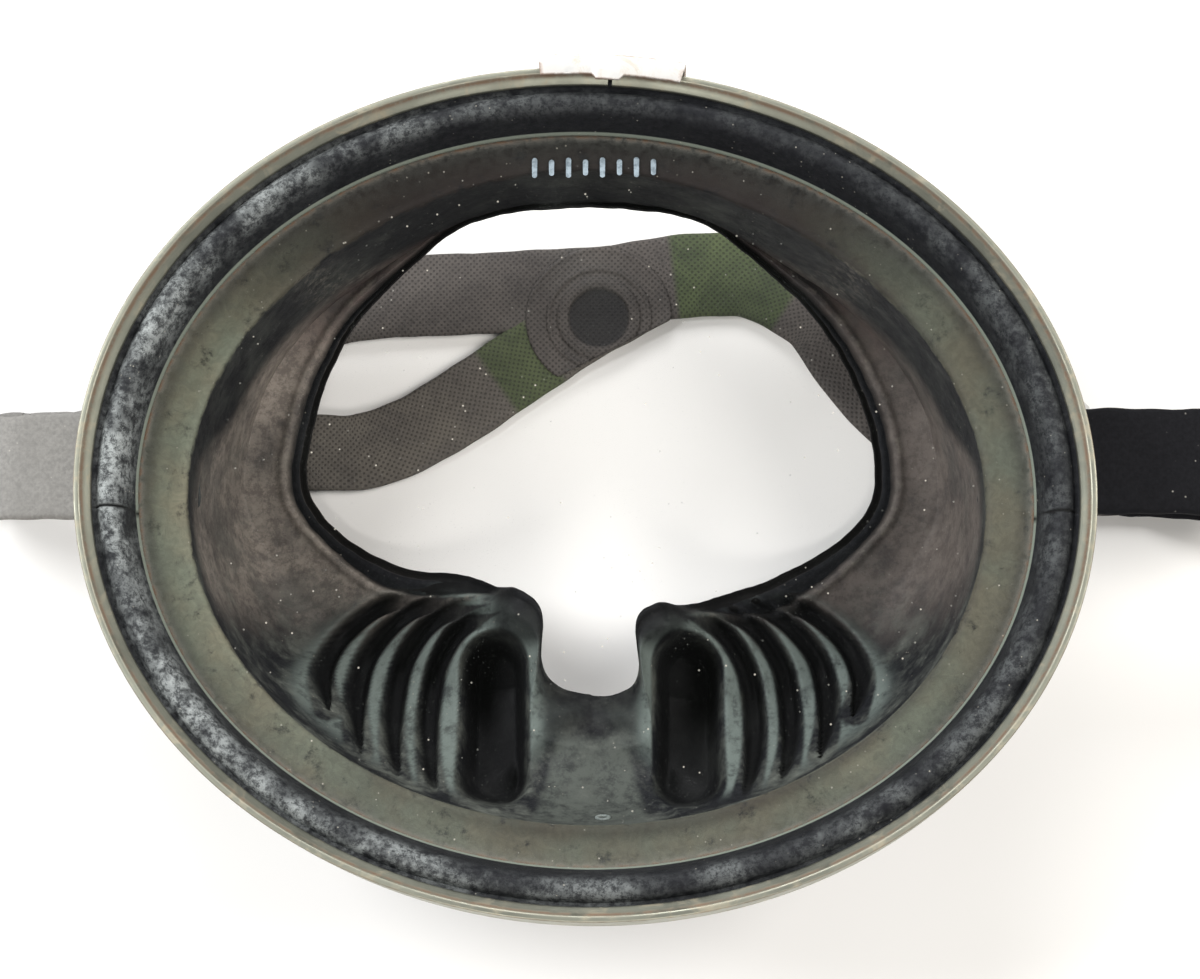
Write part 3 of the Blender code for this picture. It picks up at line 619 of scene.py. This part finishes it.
def skirt_rings(angles):
    """Rings of the section from the band seat over the bead, shelf, wall and flange and back."""
    edge_reach, edge_height = face_edge(angles)
    nick = 0.35 * ripple(120.0 * np.cos(angles), 120.0 * np.sin(angles), 3.0)
    edge_reach = edge_reach + nick
    turn_width, turn_height = by_rise(angles, FLANGE_TURN)
    upper = np.maximum(0.0, np.sin(angles)) ** 3
    shelf_inset = SHELF_AT_SIDES + (SHELF_AT_TOP - SHELF_AT_SIDES) * upper
    shelf = rim_reach(angles, shelf_inset)
    ones = np.ones_like(angles)
    rings = []
    zones = []

    def add(zone, reach, height):
        """Stores one ring."""
        rings.append((reach, height * ones if np.ndim(height) == 0 else height))
        zones.append(zone)

    add("seat", rim_reach(angles, 1.1), BAND_TOP - 1.9)
    add("seat", rim_reach(angles, 2.3), BAND_TOP - 2.75)
    bead_path = (
        (3.45, 58.45), (3.7, 58.9), (4.3, 59.8), (5.4, 60.35), (6.7, 60.1), (7.8, 59.0), (8.6, 57.0),
        (9.1, 54.9), (9.45, LIP_TOP + 0.35), (LIP_INSET + 0.05, LIP_TOP - 0.15),
        (LIP_INSET + 0.15, LIP_TOP - 0.5), (LIP_INSET, LENS_TOP + 0.12),
    )
    for inset, height in smooth_path(bead_path, 4):
        add("bead", rim_reach(angles, inset), height)
    add("groove", rim_reach(angles, LENS_INSET - FIT), LENS_TOP + 0.12)
    add("groove", rim_reach(angles, LENS_INSET - FIT), LENS_BOTTOM - FIT)
    top = LENS_BOTTOM - FIT
    for share in np.linspace(0.15, 1.0, 14):
        inset = LENS_INSET + share * (shelf_inset - 0.9 - LENS_INSET)
        add("shelf", rim_reach(angles, inset), top - 0.15 * share)
    wall_top = LENS_BOTTOM - 1.2
    add("shelf", shelf + 0.35, top - 0.4)
    turn = edge_reach + turn_width
    drop = turn_height - wall_top
    for share in np.linspace(0.0, 1.0, 62):
        quarter = share * math.pi / 2.0
        reach = shelf + (turn - shelf) * (1.0 - math.cos(quarter))
        add("wall", reach, wall_top + drop * math.sin(quarter))
    for share in np.linspace(0.03, 0.95, 46):
        reach = turn + (edge_reach + 0.6 - turn) * share
        sag = -0.8 * math.sin(share * math.pi)
        add("flange", reach, turn_height + (edge_height - turn_height) * share + sag)
    half = EDGE_THICKNESS / 2.0
    for step in range(7):
        turned = math.pi / 2.0 - step * math.pi / 6.0
        reach = edge_reach + half - half * math.cos(turned)
        add("edge", reach, edge_height - half + half * math.sin(turned))
    for share in np.linspace(0.08, 1.0, 12):
        reach = edge_reach + 0.8 + (turn - edge_reach - 0.8) * share
        thick = EDGE_THICKNESS + (WALL - EDGE_THICKNESS) * share
        sag = -0.8 * math.sin(share * math.pi)
        add("under", reach, edge_height + (turn_height - edge_height) * share - thick + sag)
    for share in np.linspace(1.0, 0.0, 16):
        quarter = share * math.pi / 2.0
        reach = shelf + (turn - shelf) * (1.0 - math.cos(quarter))
        height = wall_top + drop * math.sin(quarter)
        lean = share**2.2
        add("outside", reach + WALL * (1.0 - 0.45 * lean), height + 0.25 * WALL - 0.95 * WALL * lean)
    add("outside", shelf + WALL, LENS_BOTTOM - 4.4)
    underside = ((8.6, -3.0), (6.5, -2.2), (4.4, -0.9), (BAND_LIP + 0.4, -FIT))
    for inset, drop in underside:
        add("outside", rim_reach(angles, inset), BAND_BOTTOM + drop)
    for inset in (BAND_LIP + 0.4, 1.1):
        add("seat", rim_reach(angles, inset), BAND_BOTTOM + BAND_SHEET + FIT)
    return rings, zones, edge_reach, shelf


def build_skirt():
    """One rubber moulding with bead, lens lip, shelf, nose pocket and bellows."""
    angles = column_angles(560)
    rings, zones, edge_reach, shelf = skirt_rings(angles)
    reach = np.array([ring[0] for ring in rings])
    height = np.array([ring[1] for ring in rings])
    zone = np.array(zones)

    def within(*names):
        """Rows of the section that lie in the named zones."""
        return np.isin(zone, names)[:, None]

    x = reach * np.cos(angles)
    y = HUB_Y + reach * np.sin(angles)
    soft = within("wall", "flange")
    skin = within("under", "outside")
    sink, bulge, crest, shade = bellows(x, y)
    from_rim = reach - edge_reach
    wall_share = np.where(within("wall"), smoothstep(47.0 - height, 1.0, 7.0), 1.0)
    fade = smoothstep(from_rim, 1.0, 5.0) * smoothstep(shelf - reach, 0.8, 5.0) * wall_share
    height = height + np.where(soft, (bulge - sink) * fade, 0.0)
    height = height - np.where(skin & (height < 44.0), np.maximum(0.0, sink - bulge) * fade, 0.0)
    (strip,) = by_rise(angles, EDGE_STRIP, 0.06)
    has_strip = smoothstep(strip, 0.3, 2.5)
    in_strip = np.where(within("flange", "edge"), 1.0 - smoothstep(from_rim - strip, -1.1, 0.1), 0.0)
    ridge = np.where(soft, near_value(from_rim - strip, 0.9, 0.9), 0.0)
    height = height + has_strip * (0.5 * ridge - 2.0 * in_strip * smoothstep(from_rim, -0.5, 1.2))
    lowest = 0.05
    height = np.maximum(height, lowest)
    bead = within("bead")
    seam = bead * (1.0 - smoothstep(np.abs(y - SEAM_Y), 0.12, 0.42))
    height = height - 0.35 * seam
    height = height + np.where(bead & (height > 54.0), 0.10 * ripple(x, y, 1.0), 0.0)
    marks = skirt_marks(x, y, height, zone, shelf - reach, crest * fade, seam)
    knob = 1.0 - smoothstep(np.hypot(np.abs(x) - 12.0, y + 17.0), 5.0, 9.0)
    bridge = (1.0 - smoothstep(np.abs(x), 7.0, 11.0)) * (1.0 - smoothstep(-y, 38.0, 42.5))
    nose = np.maximum(0.85 * knob, 0.7 * bridge * (y < -12.0))
    nose = np.where(soft | within("edge"), nose, 0.0)
    # Painted shade in the grooves, wells and the strip by the sealing edge; the nose knobs and bridge are
    # kept black as well.
    shade = np.maximum(np.where(soft, shade * fade, 0.0), 0.95 * in_strip * has_strip)
    marks["shade"] = np.maximum(shade, nose)
    marks["lit"] = ridge * has_strip
    points = placed(x, y, height).reshape(-1, 3)
    faces = sweep_faces(*height.shape, True)
    skirt = new_piece("skirt_moulding", points, faces, skirt_rubber(), "mask", marks=marks)
    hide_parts("skirt")
    return skirt


def skirt_marks(x, y, height, zone, shelf_gap, crest, seam):
    """Where bloom, olive residue, the brown painted reflection and light, pale crests, the lip and the seams
    lie.
    """
    turn = np.arctan2(y / HALF_HEIGHT, x / HALF_WIDTH)
    is_bead = (zone == "bead")[:, None]
    is_shelf = (zone == "shelf")[:, None]
    is_inner = np.isin(zone, ("wall", "flange", "edge"))[:, None]
    inset = (1.0 - np.hypot(x / HALF_WIDTH, y / HALF_HEIGHT)) * 83.0
    bead_share = smoothstep(inset, 2.6, 4.0) * (1.0 - smoothstep(inset, 7.2, 9.2))
    above = np.maximum(0.0, np.sin(turn)) ** 3
    below = np.maximum(0.0, -np.sin(turn)) ** 3
    # Bloom on the bead, heaviest on the left and thinnest at the top and right; part of the extra on the
    # left is painted light, where little light reaches the bead.
    bloom_and_painted_light = 0.62 - 0.42 * np.cos(turn) - 0.48 * above - 0.18 * below
    bloom = np.where(is_bead, bloom_and_painted_light * (0.10 + 0.90 * bead_share), 0.0)
    lip = np.where(is_bead & (height < LIP_TOP + 0.3), 0.6, 0.0)
    run = 47.0 - height + 0.6 * shelf_gap
    fall = 1.0 - smoothstep(run, 0.0, 3.0 + 4.0 * smoothstep(-y, 0.0, 50.0))
    olive = np.where(is_shelf, 0.95, np.where(is_inner, 0.75 * fall, 0.0))
    # Olive darker at the top, to the right and along the shelf's borders; the darkening at the bottom is
    # painted shade.
    dim = 0.95 * smoothstep(np.sin(turn), 0.35, 0.92) + 0.42 * smoothstep(-np.sin(turn), 0.5, 1.0)
    dim = np.maximum(dim, 0.35 * smoothstep(np.cos(turn), 0.5, 0.9))
    border = smoothstep(inset, 14.5, 18.0) * (0.45 + 0.40 * np.cos(turn))
    border = border + 0.5 * (1.0 - smoothstep(inset, 9.6, 12.0))
    dim = dim + (1.0 - dim) * np.where(is_shelf, border, 0.3)
    # Painted reflection and light: brown low on the inner walls beside the nose and under the brow.
    start = 2.5 + 17.0 * smoothstep(y, 5.0, 22.0)
    low = smoothstep(run, start, start + 11.0)
    beside = smoothstep(np.abs(x), 18.0, 40.0) * smoothstep(y, -26.0, -6.0)
    brow = smoothstep(y, 30.0, 50.0)
    painted_brown_light = np.where(is_inner, low * np.maximum(beside, 0.85 * brow), 0.0)
    haze = np.where(is_inner, 0.25 + 0.75 * smoothstep(-y, 5.0, 35.0), 0.0)
    panel = (1.0 - smoothstep(np.abs(x) - 0.22 * (-y - 41.0), 5.6, 7.6)) * smoothstep(-y, 39.5, 42.0)
    return {
        "bloom": bloom,
        "lip": lip,
        "olive": olive,
        "painted_brown_light": painted_brown_light,
        "haze": haze * (1.0 - 0.7 * crest),
        "crest": crest,
        "brow": np.where(is_inner, brow, 0.0),
        # Painted light: paler brown on the left walls, where little light reaches them.
        "left": smoothstep(-x, 8.0, 42.0),
        "dim": dim,
        "panel": np.where(is_inner, panel, 0.0),
        "seam": seam,
    }


def build_mould_mark(skirt):
    """Plain small ring moulded into the rubber below the nose."""
    target = Vector(placed(2.2, -56.6, 0.0)) * MM
    inside = [vertex for vertex in skirt.data.vertices if vertex.co.z > 20.0 * MM]
    near = min(inside, key=lambda vertex: (vertex.co.xy - target.xy).length)
    across = Vector((1.0, 0.0, 0.0))
    normal = near.normal if near.normal.z > 0.0 else -near.normal
    along = normal.cross(across).normalized()
    centre = near.co / MM + normal * 0.1
    radius = 1.15
    wire = 0.3
    vertices = []
    for turn in np.linspace(0.0, 2.0 * math.pi, 33)[:-1]:
        ray = across * math.cos(turn) + along * math.sin(turn)
        for tube in np.linspace(0.0, 2.0 * math.pi, 9)[:-1]:
            out = ray * (radius + wire * math.cos(tube))
            vertices.append(tuple(centre + out + normal * wire * math.sin(tube)))
    marks = {"crest": np.full(len(vertices), 1.0), "bloom": np.full(len(vertices), 1.0)}
    faces = sweep_faces(32, 8, True)
    ring = new_piece("skirt_ring", vertices, faces, skirt_rubber(), "mask", marks=marks)


def build_lugs():
    """Rubber lug on each side of the skirt that carries the buckle's pin."""
    material = skirt_rubber()
    half_width = 10.4
    radius = 2.9
    turns = np.linspace(-math.pi / 2.0, math.pi / 2.0, 13)
    outline = [(PIN_X - 7.5, -6.0)]
    outline.extend((PIN_X + radius * math.cos(turn), radius * math.sin(turn)) for turn in turns)
    outline.append((PIN_X - 7.5, 6.0))
    middle = PIN_X - 3.0
    for side, word in ((-1.0, "left"), (1.0, "right")):
        vertices = []
        sections = np.linspace(-1.0, 1.0, 15)
        for share in sections:
            ease = 1.0 - 0.10 * abs(share) ** 8
            y = CENTRE_Y + LUG_Y + share * half_width
            for out, rise in outline:
                x = CENTRE_X + side * (middle + (out - middle) * ease)
                vertices.append((x, y, PIN_Z + rise * ease))
        marks = {"haze": np.full(len(vertices), 0.4), "bloom": np.full(len(vertices), 0.15)}
        faces = sweep_faces(len(sections), len(outline), False)
        lug = new_piece("skirt_lug_" + word, vertices, faces, material, "mask", marks=marks)


# ---- lens


def build_lens():
    """Glass disc with a bevelled edge."""
    angles = column_angles(360, seam_columns=False)
    bevel = 0.5
    rings = [(LENS_INSET + bevel, LENS_BOTTOM), (LENS_INSET, LENS_BOTTOM + bevel)]
    rings.extend([(LENS_INSET, LENS_TOP - bevel), (LENS_INSET + bevel, LENS_TOP)])
    top_insets = (9.4, 9.8, 10.0, 10.3, 10.7, 11.2, 12.5, 16.0, 24.0, 36.0, 50.0, 62.0)
    rings.extend((inset, LENS_TOP) for inset in top_insets)
    dirt_by_inset = {9.4: 0.9, 9.8: 1.0, 10.0: 0.9, 10.3: 0.55, 10.7: 0.25, 11.2: 0.12, 12.5: 0.05}
    points = np.array([polar(angles, rim_reach_soft(angles, inset), z) for inset, z in rings])
    dirt = np.array([np.full(len(angles), dirt_by_inset.get(inset, 0.0)) for inset, _ in rings])
    faces = sweep_faces(len(rings), len(angles), False)
    points = points.reshape(-1, 3)
    lens = new_piece("lens_disc", points, faces, lens_glass(), "mask", marks={"dirt": dirt.ravel()})
    flat_edges(lens)
    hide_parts("lens")


def rim_reach_soft(angle, inset):
    """Like rim_reach, but measured from the lens centre once the oval no longer holds the hub."""
    if inset < 50.0:
        return rim_reach(angle, inset)
    inner = rim_reach(angle, 49.0)
    return inner * (1.0 - (inset - 49.0) / 26.0)


def flat_edges(item, degrees=30.0):
    """Keeps corners sharper than the given angle."""
    item.data.set_sharp_from_angle(angle=math.radians(degrees))


def build_print():
    """Plain bars in a row, the generic stand-in for the glass maker's print."""
    count = 8
    pitch = 3.15
    half_width = 0.5
    half_height = 1.95
    middle_x = CENTRE_X + 1.6
    middle_y = CENTRE_Y + 62.3
    level = LENS_BOTTOM - 0.08
    thick = 0.06
    corners = 16
    vertices = []
    faces = []
    for index in range(count):
        x = middle_x + (index - (count - 1) / 2.0) * pitch
        straight = half_height * (1.0 if index % 2 == 0 else 0.8) - half_width
        start = len(vertices)
        for height in (level - thick / 2.0, level + thick / 2.0):
            for turn in 2.0 * math.pi * np.arange(corners) / corners:
                shift = straight if math.sin(turn) >= 0.0 else -straight
                y = middle_y + shift + half_width * math.sin(turn)
                vertices.append((x + half_width * math.cos(turn), y, height))
        bar = sweep_faces(2, corners, False)
        faces.extend(tuple(start + value for value in face) for face in bar)
    bars = new_piece("lens_print", vertices, faces, print_white(), "mask")
    flat_edges(bars)


# ---- band and clasp


def clasp_angle(x):
    """Direction from the hub of the point of the rim above a given x near the forehead."""
    y = HALF_HEIGHT * math.sqrt(1.0 - (x / HALF_WIDTH) ** 2)
    return math.atan2(y - HUB_Y, x)


CLASP_X = (CLASP_LOW[0] + CLASP_HIGH[0]) / 2.0 - CENTRE_X
CLASP_LENGTH = 26.0
BAND_GAP = 0.8
HOOK_LENGTH = 10.0


def rounded(profile, radius, steps=4):
    """Rounds the corners of a closed outline."""
    corners = np.array(profile)
    neighbours = zip(np.roll(corners, 1, axis=0), corners, np.roll(corners, -1, axis=0))
    result = []
    for before, corner, after in neighbours:
        back = before - corner
        ahead = after - corner
        back_length = np.linalg.norm(back)
        ahead_length = np.linalg.norm(ahead)
        cut = min(radius, 0.45 * back_length, 0.45 * ahead_length)
        start = corner + back / back_length * cut
        end = corner + ahead / ahead_length * cut
        for t in np.linspace(0.0, 1.0, steps + 1):
            result.append((1 - t) ** 2 * start + 2 * t * (1 - t) * corner + t * t * end)
    return np.array(result)


def rolled_piece(name, sections, rust, steel):
    """Steel section swept along the rim: angle, insets and heights of each section."""
    points = [polar(np.full(len(inset), turn), rim_reach(turn, inset), z) for turn, inset, z in sections]
    faces = sweep_faces(len(sections), len(points[0]), False)
    marks = {"rust": np.clip(rust, 0.0, 1.0).ravel()}
    piece = new_piece(name, np.array(points).reshape(-1, 3), faces, steel, "mask", marks=marks)
    flat_edges(piece, 50.0)
    return piece


def build_band():
    """Rolled channel round the rim, from one hook to the other, with rust along its outer edge."""
    first = clasp_angle(CLASP_X - BAND_GAP / 2.0)
    last = clasp_angle(CLASP_X + BAND_GAP / 2.0) + 2.0 * math.pi
    hook_start = clasp_angle(CLASP_X - BAND_GAP / 2.0 - HOOK_LENGTH)
    hook_end = clasp_angle(CLASP_X + BAND_GAP / 2.0 + HOOK_LENGTH) + 2.0 * math.pi
    angles = np.linspace(first, last, 720)
    top = BAND_TOP
    low = BAND_BOTTOM
    profile = [
        (0.0, low), (0.0, low + 4.0), (-0.05, low + 7.0), (0.0, top - 3.0), (0.0, top), (1.05, top),
        (1.45, top - 0.75), (BAND_LIP - 0.9, top - 1.2), (BAND_LIP, top - BAND_LIP_DROP),
        (BAND_LIP, top - BAND_LIP_DROP - BAND_SHEET + 0.1), (1.1, top - 1.45), (BAND_SHEET, top - 1.7),
        (BAND_SHEET, low + BAND_SHEET), (BAND_LIP, low + BAND_SHEET), (BAND_LIP, low),
    ]
    outline = rounded(profile, 0.32)
    folded = 1.0 - smoothstep(angles, hook_start, hook_start + 0.02)
    folded = folded + smoothstep(angles, hook_end - 0.02, hook_end)
    sections = []
    rust = []
    for index, angle in enumerate(angles):
        x = HALF_WIDTH * math.cos(angle)
        y = HALF_HEIGHT * math.sin(angle)
        wobble = 0.07 * float(ripple(np.array(x), np.array(y), 5.0))
        outer = smoothstep(0.45 - outline[:, 0], 0.0, 0.4)
        inset = outline[:, 0] - BAND_SHEET * folded[index] * outer
        height = outline[:, 1] + wobble * (outline[:, 1] > top - 3.0)
        sections.append((angle, inset, height))
        valley = near_value(outline[:, 0], 1.35, 0.28) * (outline[:, 1] > top - 1.3)
        brink = near_value(outline[:, 0], 0.0, 0.2) * (outline[:, 1] > top - 1.0)
        foot = near_value(outline[:, 1], low, 0.5)
        rust.append(valley + 0.55 * brink + 0.6 * foot)
    steel = worn_steel("band_steel", (0.30, 0.302, 0.245), 0.75)
    band = rolled_piece("steel_band", sections, rust, steel)
    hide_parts("band")


def build_clasp():
    """Pressed sleeve over both hooks, with a short step in its inner edge."""
    near = BAND_SHEET + FIT
    far = near + 1.0
    top = CLASP_HIGH[2] - 1.0
    low = CLASP_LOW[2] + 1.0
    start = clasp_angle(CLASP_X + CLASP_LENGTH / 2.0)
    end = clasp_angle(CLASP_X - CLASP_LENGTH / 2.0)
    angles = np.linspace(start, end, 61)
    sections = []
    rust = []
    for index, angle in enumerate(angles):
        share = index / (len(angles) - 1)
        tab = smoothstep(share, 0.40, 0.43) * (1.0 - smoothstep(share, 0.60, 0.63))
        lip = 1.7 + 0.9 * tab
        profile = [
            (-far, low - 1.0), (-far, top + 1.0), (lip, top + 0.8), (lip, top + 0.05), (-near, top + 0.05),
            (-near, low), (1.5, low), (1.5, low - 1.0),
        ]
        outline = rounded(profile, 0.4, 3)
        sections.append((angle, outline[:, 0], outline[:, 1]))
        ends = 1.0 - smoothstep(min(share, 1.0 - share), 0.0, 0.03)
        brink = near_value(outline[:, 0], -far, 0.3) + near_value(outline[:, 0], lip, 0.25)
        rust.append(brink * (outline[:, 1] > top - 0.5) + ends)
    steel = worn_steel("clasp_steel", (0.78, 0.77, 0.74), 0.85)
    sleeve = rolled_piece("clasp_cover", sections, rust, steel)
    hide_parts("clasp_sleeve")


# ---- strap and buckles

STRAP_WIDTH = 20.0
SPLIT_WIDTH = 17.0
STRAP_THICKNESS = 2.2
STRAP_LEVEL = 0.1 + STRAP_THICKNESS / 2.0
RIGHT_BOSS = (1.4, 46.0)
LEFT_BOSS = (-78.0, 25.0)
BOSS_RADIUS = 14.8
BOSS_CUT = 7.0
BOSS_HEIGHT = 3.2
LEFT_JOIN = (-112.0, 18.5)
LEFT_JOIN_TURN = 184.0
RIGHT_JOIN = (104.0, 14.0)
RIGHT_JOIN_TURN = 0.0
LEFT_FOLD = 124.0
RIGHT_FOLD = 130.0


def join_point(join, turn, distance):
    """Point on the straight run of strap through a join, measured along the strap."""
    angle = math.radians(turn)
    return join[0] + distance * math.cos(angle), join[1] + distance * math.sin(angle)


def strap_outline(width):
    """Flat section with rounded edges, divided about every 1.5 mm."""
    half = STRAP_THICKNESS / 2.0
    radius = 0.85 * half
    corners = []
    for side in (1.0, -1.0):
        for turn in np.radians(np.arange(-90.0, 91.0, 22.5)):
            across = width / 2.0 - radius + radius * math.cos(turn)
            corners.append((side * across, side * half * math.sin(turn)))
    corners = np.array([*corners, corners[0]])
    result = [corners[:1]]
    for start, end in zip(corners, corners[1:]):
        parts = max(1, int(round(np.linalg.norm(end - start) / 1.5)))
        result.append(start + (end - start) * np.linspace(0.0, 1.0, parts + 1)[1:, None])
    return np.concatenate(result)[:-1]


def ribbon(name, path, width, material, wavy, green=(0.0, 0.0), facing=None):
    """Flat strap along a path in millimetres from the rim's centre; its width stays level.

    The width is one number, or pairs of a share of the length and the width there.
    A strap that folds back over itself keeps its width along facing.
    """
    path = np.asarray(path)
    stations = np.array(width if isinstance(width, tuple) else ((0.0, width), (1.0, width)))
    full = stations[:, 1].max()
    outline = strap_outline(full)
    count = len(path)
    length = np.concatenate([[0.0], np.cumsum(np.linalg.norm(np.diff(path, axis=0), axis=1))])
    scale = np.interp(length / length[-1], stations[:, 0], stations[:, 1]) / full
    across = None if facing is None else np.array(facing)
    vertices = []
    uv = []
    tint = []
    for index in range(count):
        ahead = path[min(index + 1, count - 1)] - path[max(index - 1, 0)]
        ahead = ahead / np.linalg.norm(ahead)
        flat = np.cross((0.0, 0.0, 1.0), ahead)
        if facing is None and np.linalg.norm(flat) > 0.35:
            wanted = flat / np.linalg.norm(flat)
            if across is not None and np.dot(wanted, across) < 0.0:
                wanted = -wanted
            across = wanted
        side = across - ahead * np.dot(across, ahead)
        side = side / np.linalg.norm(side)
        up = np.cross(ahead, side)
        worn = wavy * math.sin(length[index] * 0.55) * math.sin(length[index] * 0.21 + 1.0)
        wide = scale[index] + worn / (full / 2.0)
        for a, b in outline:
            point = path[index] + side * a * wide + up * b
            vertices.append((point[0] + CENTRE_X, point[1] + CENTRE_Y, max(point[2], 0.02)))
            uv.append((length[index] * MM, a * MM))
            tint.append(float(green[0] < length[index] < green[1]))
    faces = sweep_faces(count, len(outline), False)
    return new_piece(name, vertices, faces, material, None, uv=uv, marks={"green": tint})


def boss(name, centre, material):
    """Round moulded boss with raised rings where the strap splits."""
    profile = [
        (BOSS_RADIUS, 1.9), (BOSS_RADIUS - 0.15, 2.7), (BOSS_RADIUS - 0.7, 2.86), (BOSS_RADIUS - 1.3, 2.7),
        (10.9, 2.6), (10.5, 2.88), (9.9, 2.9), (9.5, 2.6), (8.6, 2.6), (8.2, 3.0), (7.2, BOSS_HEIGHT),
        (6.2, 3.0), (5.7, 2.5), (3.0, 2.45), (0.8, 2.45),
    ]
    turns = np.linspace(0.0, 2.0 * math.pi, 97)[:-1]
    rows = smooth_path(profile, 3)
    vertices = []
    uv = []
    dark = []
    edge = math.radians(-62.5)
    for radius, level in rows:
        for turn in turns:
            facing = math.cos(turn - edge)
            radius_here = radius if radius * facing < BOSS_CUT else BOSS_CUT / facing
            x = centre[0] + radius_here * math.cos(turn)
            y = centre[1] + radius_here * math.sin(turn)
            vertices.append((x + CENTRE_X, y + CENTRE_Y, level))
            uv.append((x * MM, y * MM))
            dark.append(1.0 - smoothstep(radius, 5.6, 6.4))
    faces = sweep_faces(len(rows), len(turns), False)
    piece = new_piece(name, vertices, faces, material, "mask", uv=uv, marks={"dark": dark})


def strap_end_path(side, join, turn, fold):
    """Route of one strap end: flat on the table, up through the fold, round the bar and back."""
    half = STRAP_THICKNESS / 2.0
    over = BAR_HIGH[2] + 1.5 * FIT + half
    under = FRAME_LOW[2] + 2.5 - 0.8 - FIT - half
    loop_x = BAR_LOW[0] - CENTRE_X - FIT - half - 0.6
    loop_z = (over + under) / 2.0
    start = join_point(join, turn, 0.1)
    straight = join_point(join, turn, 2.5)
    level_end = join_point(join, turn, 5.0)
    start_y = level_end[1]
    level = STRAP_LEVEL
    path = [
        (side * start[0], start[1], level), (side * straight[0], straight[1], level),
        (side * level_end[0], level_end[1], level + 0.1),
        (fold - 3.0, start_y + 0.35 * (LUG_Y - start_y), level + 5.5),
        (fold, start_y + 0.6 * (LUG_Y - start_y), level + 14.0),
        (fold - 4.0, start_y + 0.85 * (LUG_Y - start_y), level + 24.5), (fold - 14.0, LUG_Y, over - 1.4),
        (PIN_X + 22.0, LUG_Y, over), (PIN_X + 14.0, LUG_Y, over), (loop_x + 2.6, LUG_Y, over),
        (loop_x + 0.7, LUG_Y, over - 1.0), (loop_x, LUG_Y, loop_z), (loop_x + 0.7, LUG_Y, under + 1.0),
        (loop_x + 2.6, LUG_Y, under), (PIN_X + 14.0, LUG_Y, under), (PIN_X + 21.0, LUG_Y, under),
    ]
    points = smooth_path([(side * x, y, z) for x, y, z in path], 8)
    points[:, 2] = np.maximum(points[:, 2], level)
    return points


def build_strap():
    """Strap in runs: two split bands, the right run, bosses and an end at each buckle."""
    brown = strap_rubber("strap_back_rubber", (0.040, 0.035, 0.032), 0.6, 1.0, (0.098, 0.086, 0.077))
    pale = strap_rubber("strap_lower_rubber", (0.060, 0.053, 0.047), 0.7, 1.0, (0.135, 0.12, 0.10))
    black = strap_rubber("strap_right_rubber", (0.006, 0.006, 0.007), 0.10, 0.1, (0.012, 0.012, 0.012), 0.05)
    grey = strap_rubber("strap_left_rubber", (0.155, 0.149, 0.138), 0.5, 0.1, (0.215, 0.207, 0.193))
    level = STRAP_LEVEL
    upper_run = ((-78.0, 25.0), (-70.0, 37.0), (-61.0, 45.5), (-48.0, 50.3), (-18.0, 51.8), (4.0, 52.9))
    lower_run = ((-81.0, 23.0), (-67.0, 19.5), (-54.4, 18.9), (-46.0, 19.0), (-37.0, 22.0))
    lower_run += ((-27.0, 27.8), (-16.5, 35.0), (-4.5, 43.2), (4.0, 48.2), (12.0, 52.6))
    right_run = ((-1.0, 51.6), (10.0, 53.8), (22.0, 55.2), (34.0, 54.2), (45.5, 47.2), (51.0, 39.5))
    right_run += ((56.0, 32.5), (63.0, 25.5), (76.0, 17.5))
    right_run += tuple(join_point(RIGHT_JOIN, RIGHT_JOIN_TURN, back) for back in (-12.0, -6.0, 0.0))
    left_run = ((LEFT_BOSS[0] + 3.0, LEFT_BOSS[1] + 1.0),)
    left_run += tuple(join_point(LEFT_JOIN, LEFT_JOIN_TURN, back) for back in (-12.0, -6.0, 0.0))
    runs = (
        ("strap_upper_band", upper_run, SPLIT_WIDTH, 0.0, brown, (0.0, 0.0)),
        ("strap_lower_band", lower_run, SPLIT_WIDTH - 1.5, 0.05, pale, (66.0, 78.0)),
        ("strap_right_run", right_run, SPLIT_WIDTH + 0.4, 0.03, brown, (18.0, 43.0)),
        ("strap_left_run", left_run, SPLIT_WIDTH + 0.4, 0.06, grey, (0.0, 0.0)),
    )
    for name, run, width, lift, material, green in runs:
        path = smooth_path([(x, y, level + lift) for x, y in run], 10)
        piece = ribbon(name, path, width, material, 0.12, green)
        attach(piece, "mask")
        if name == "strap_upper_band":
            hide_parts("strap_back")
    boss("strap_boss_right", RIGHT_BOSS, brown)
    boss("strap_boss_left", LEFT_BOSS, brown)
    ends = (
        ("left", -1.0, LEFT_JOIN, LEFT_JOIN_TURN, LEFT_FOLD, grey),
        ("right", 1.0, RIGHT_JOIN, RIGHT_JOIN_TURN, RIGHT_FOLD, black),
    )
    for word, side, join, turn, fold, material in ends:
        path = strap_end_path(side, join, turn, fold)
        wide = ((0.0, SPLIT_WIDTH + 0.4), (0.3, STRAP_WIDTH), (0.8, STRAP_WIDTH), (0.86, 18.0), (1.0, 17.0))
        along_y = (0.0, 1.0, 0.0)
        piece = ribbon("strap_fold_" + word, path, wide, material, 0.2, facing=along_y)
        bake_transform(piece)
        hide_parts("strap_end_" + word)


def dress_buckles():
    """Brushed, slightly stained steel on the stamped buckle pieces."""
    steel = worn_steel("buckle_steel", (0.66, 0.65, 0.62), 0.4)
    for word in ("left", "right"):
        for kind in ("buckle_pin_", "buckle_frame_", "buckle_bar_"):
            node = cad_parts[kind + word]
            node.data.materials.clear()
            node.data.materials.append(steel)
            soft = node.modifiers.new("soft_edges", "BEVEL")
            soft.width = 0.00015
            soft.segments = 2
            soft.limit_method = "ANGLE"


build_stage()
build_camera()
build_mould_mark(build_skirt())
build_lugs()
build_lens()
build_print()
build_band()
build_clasp()
build_strap()
dress_buckles()
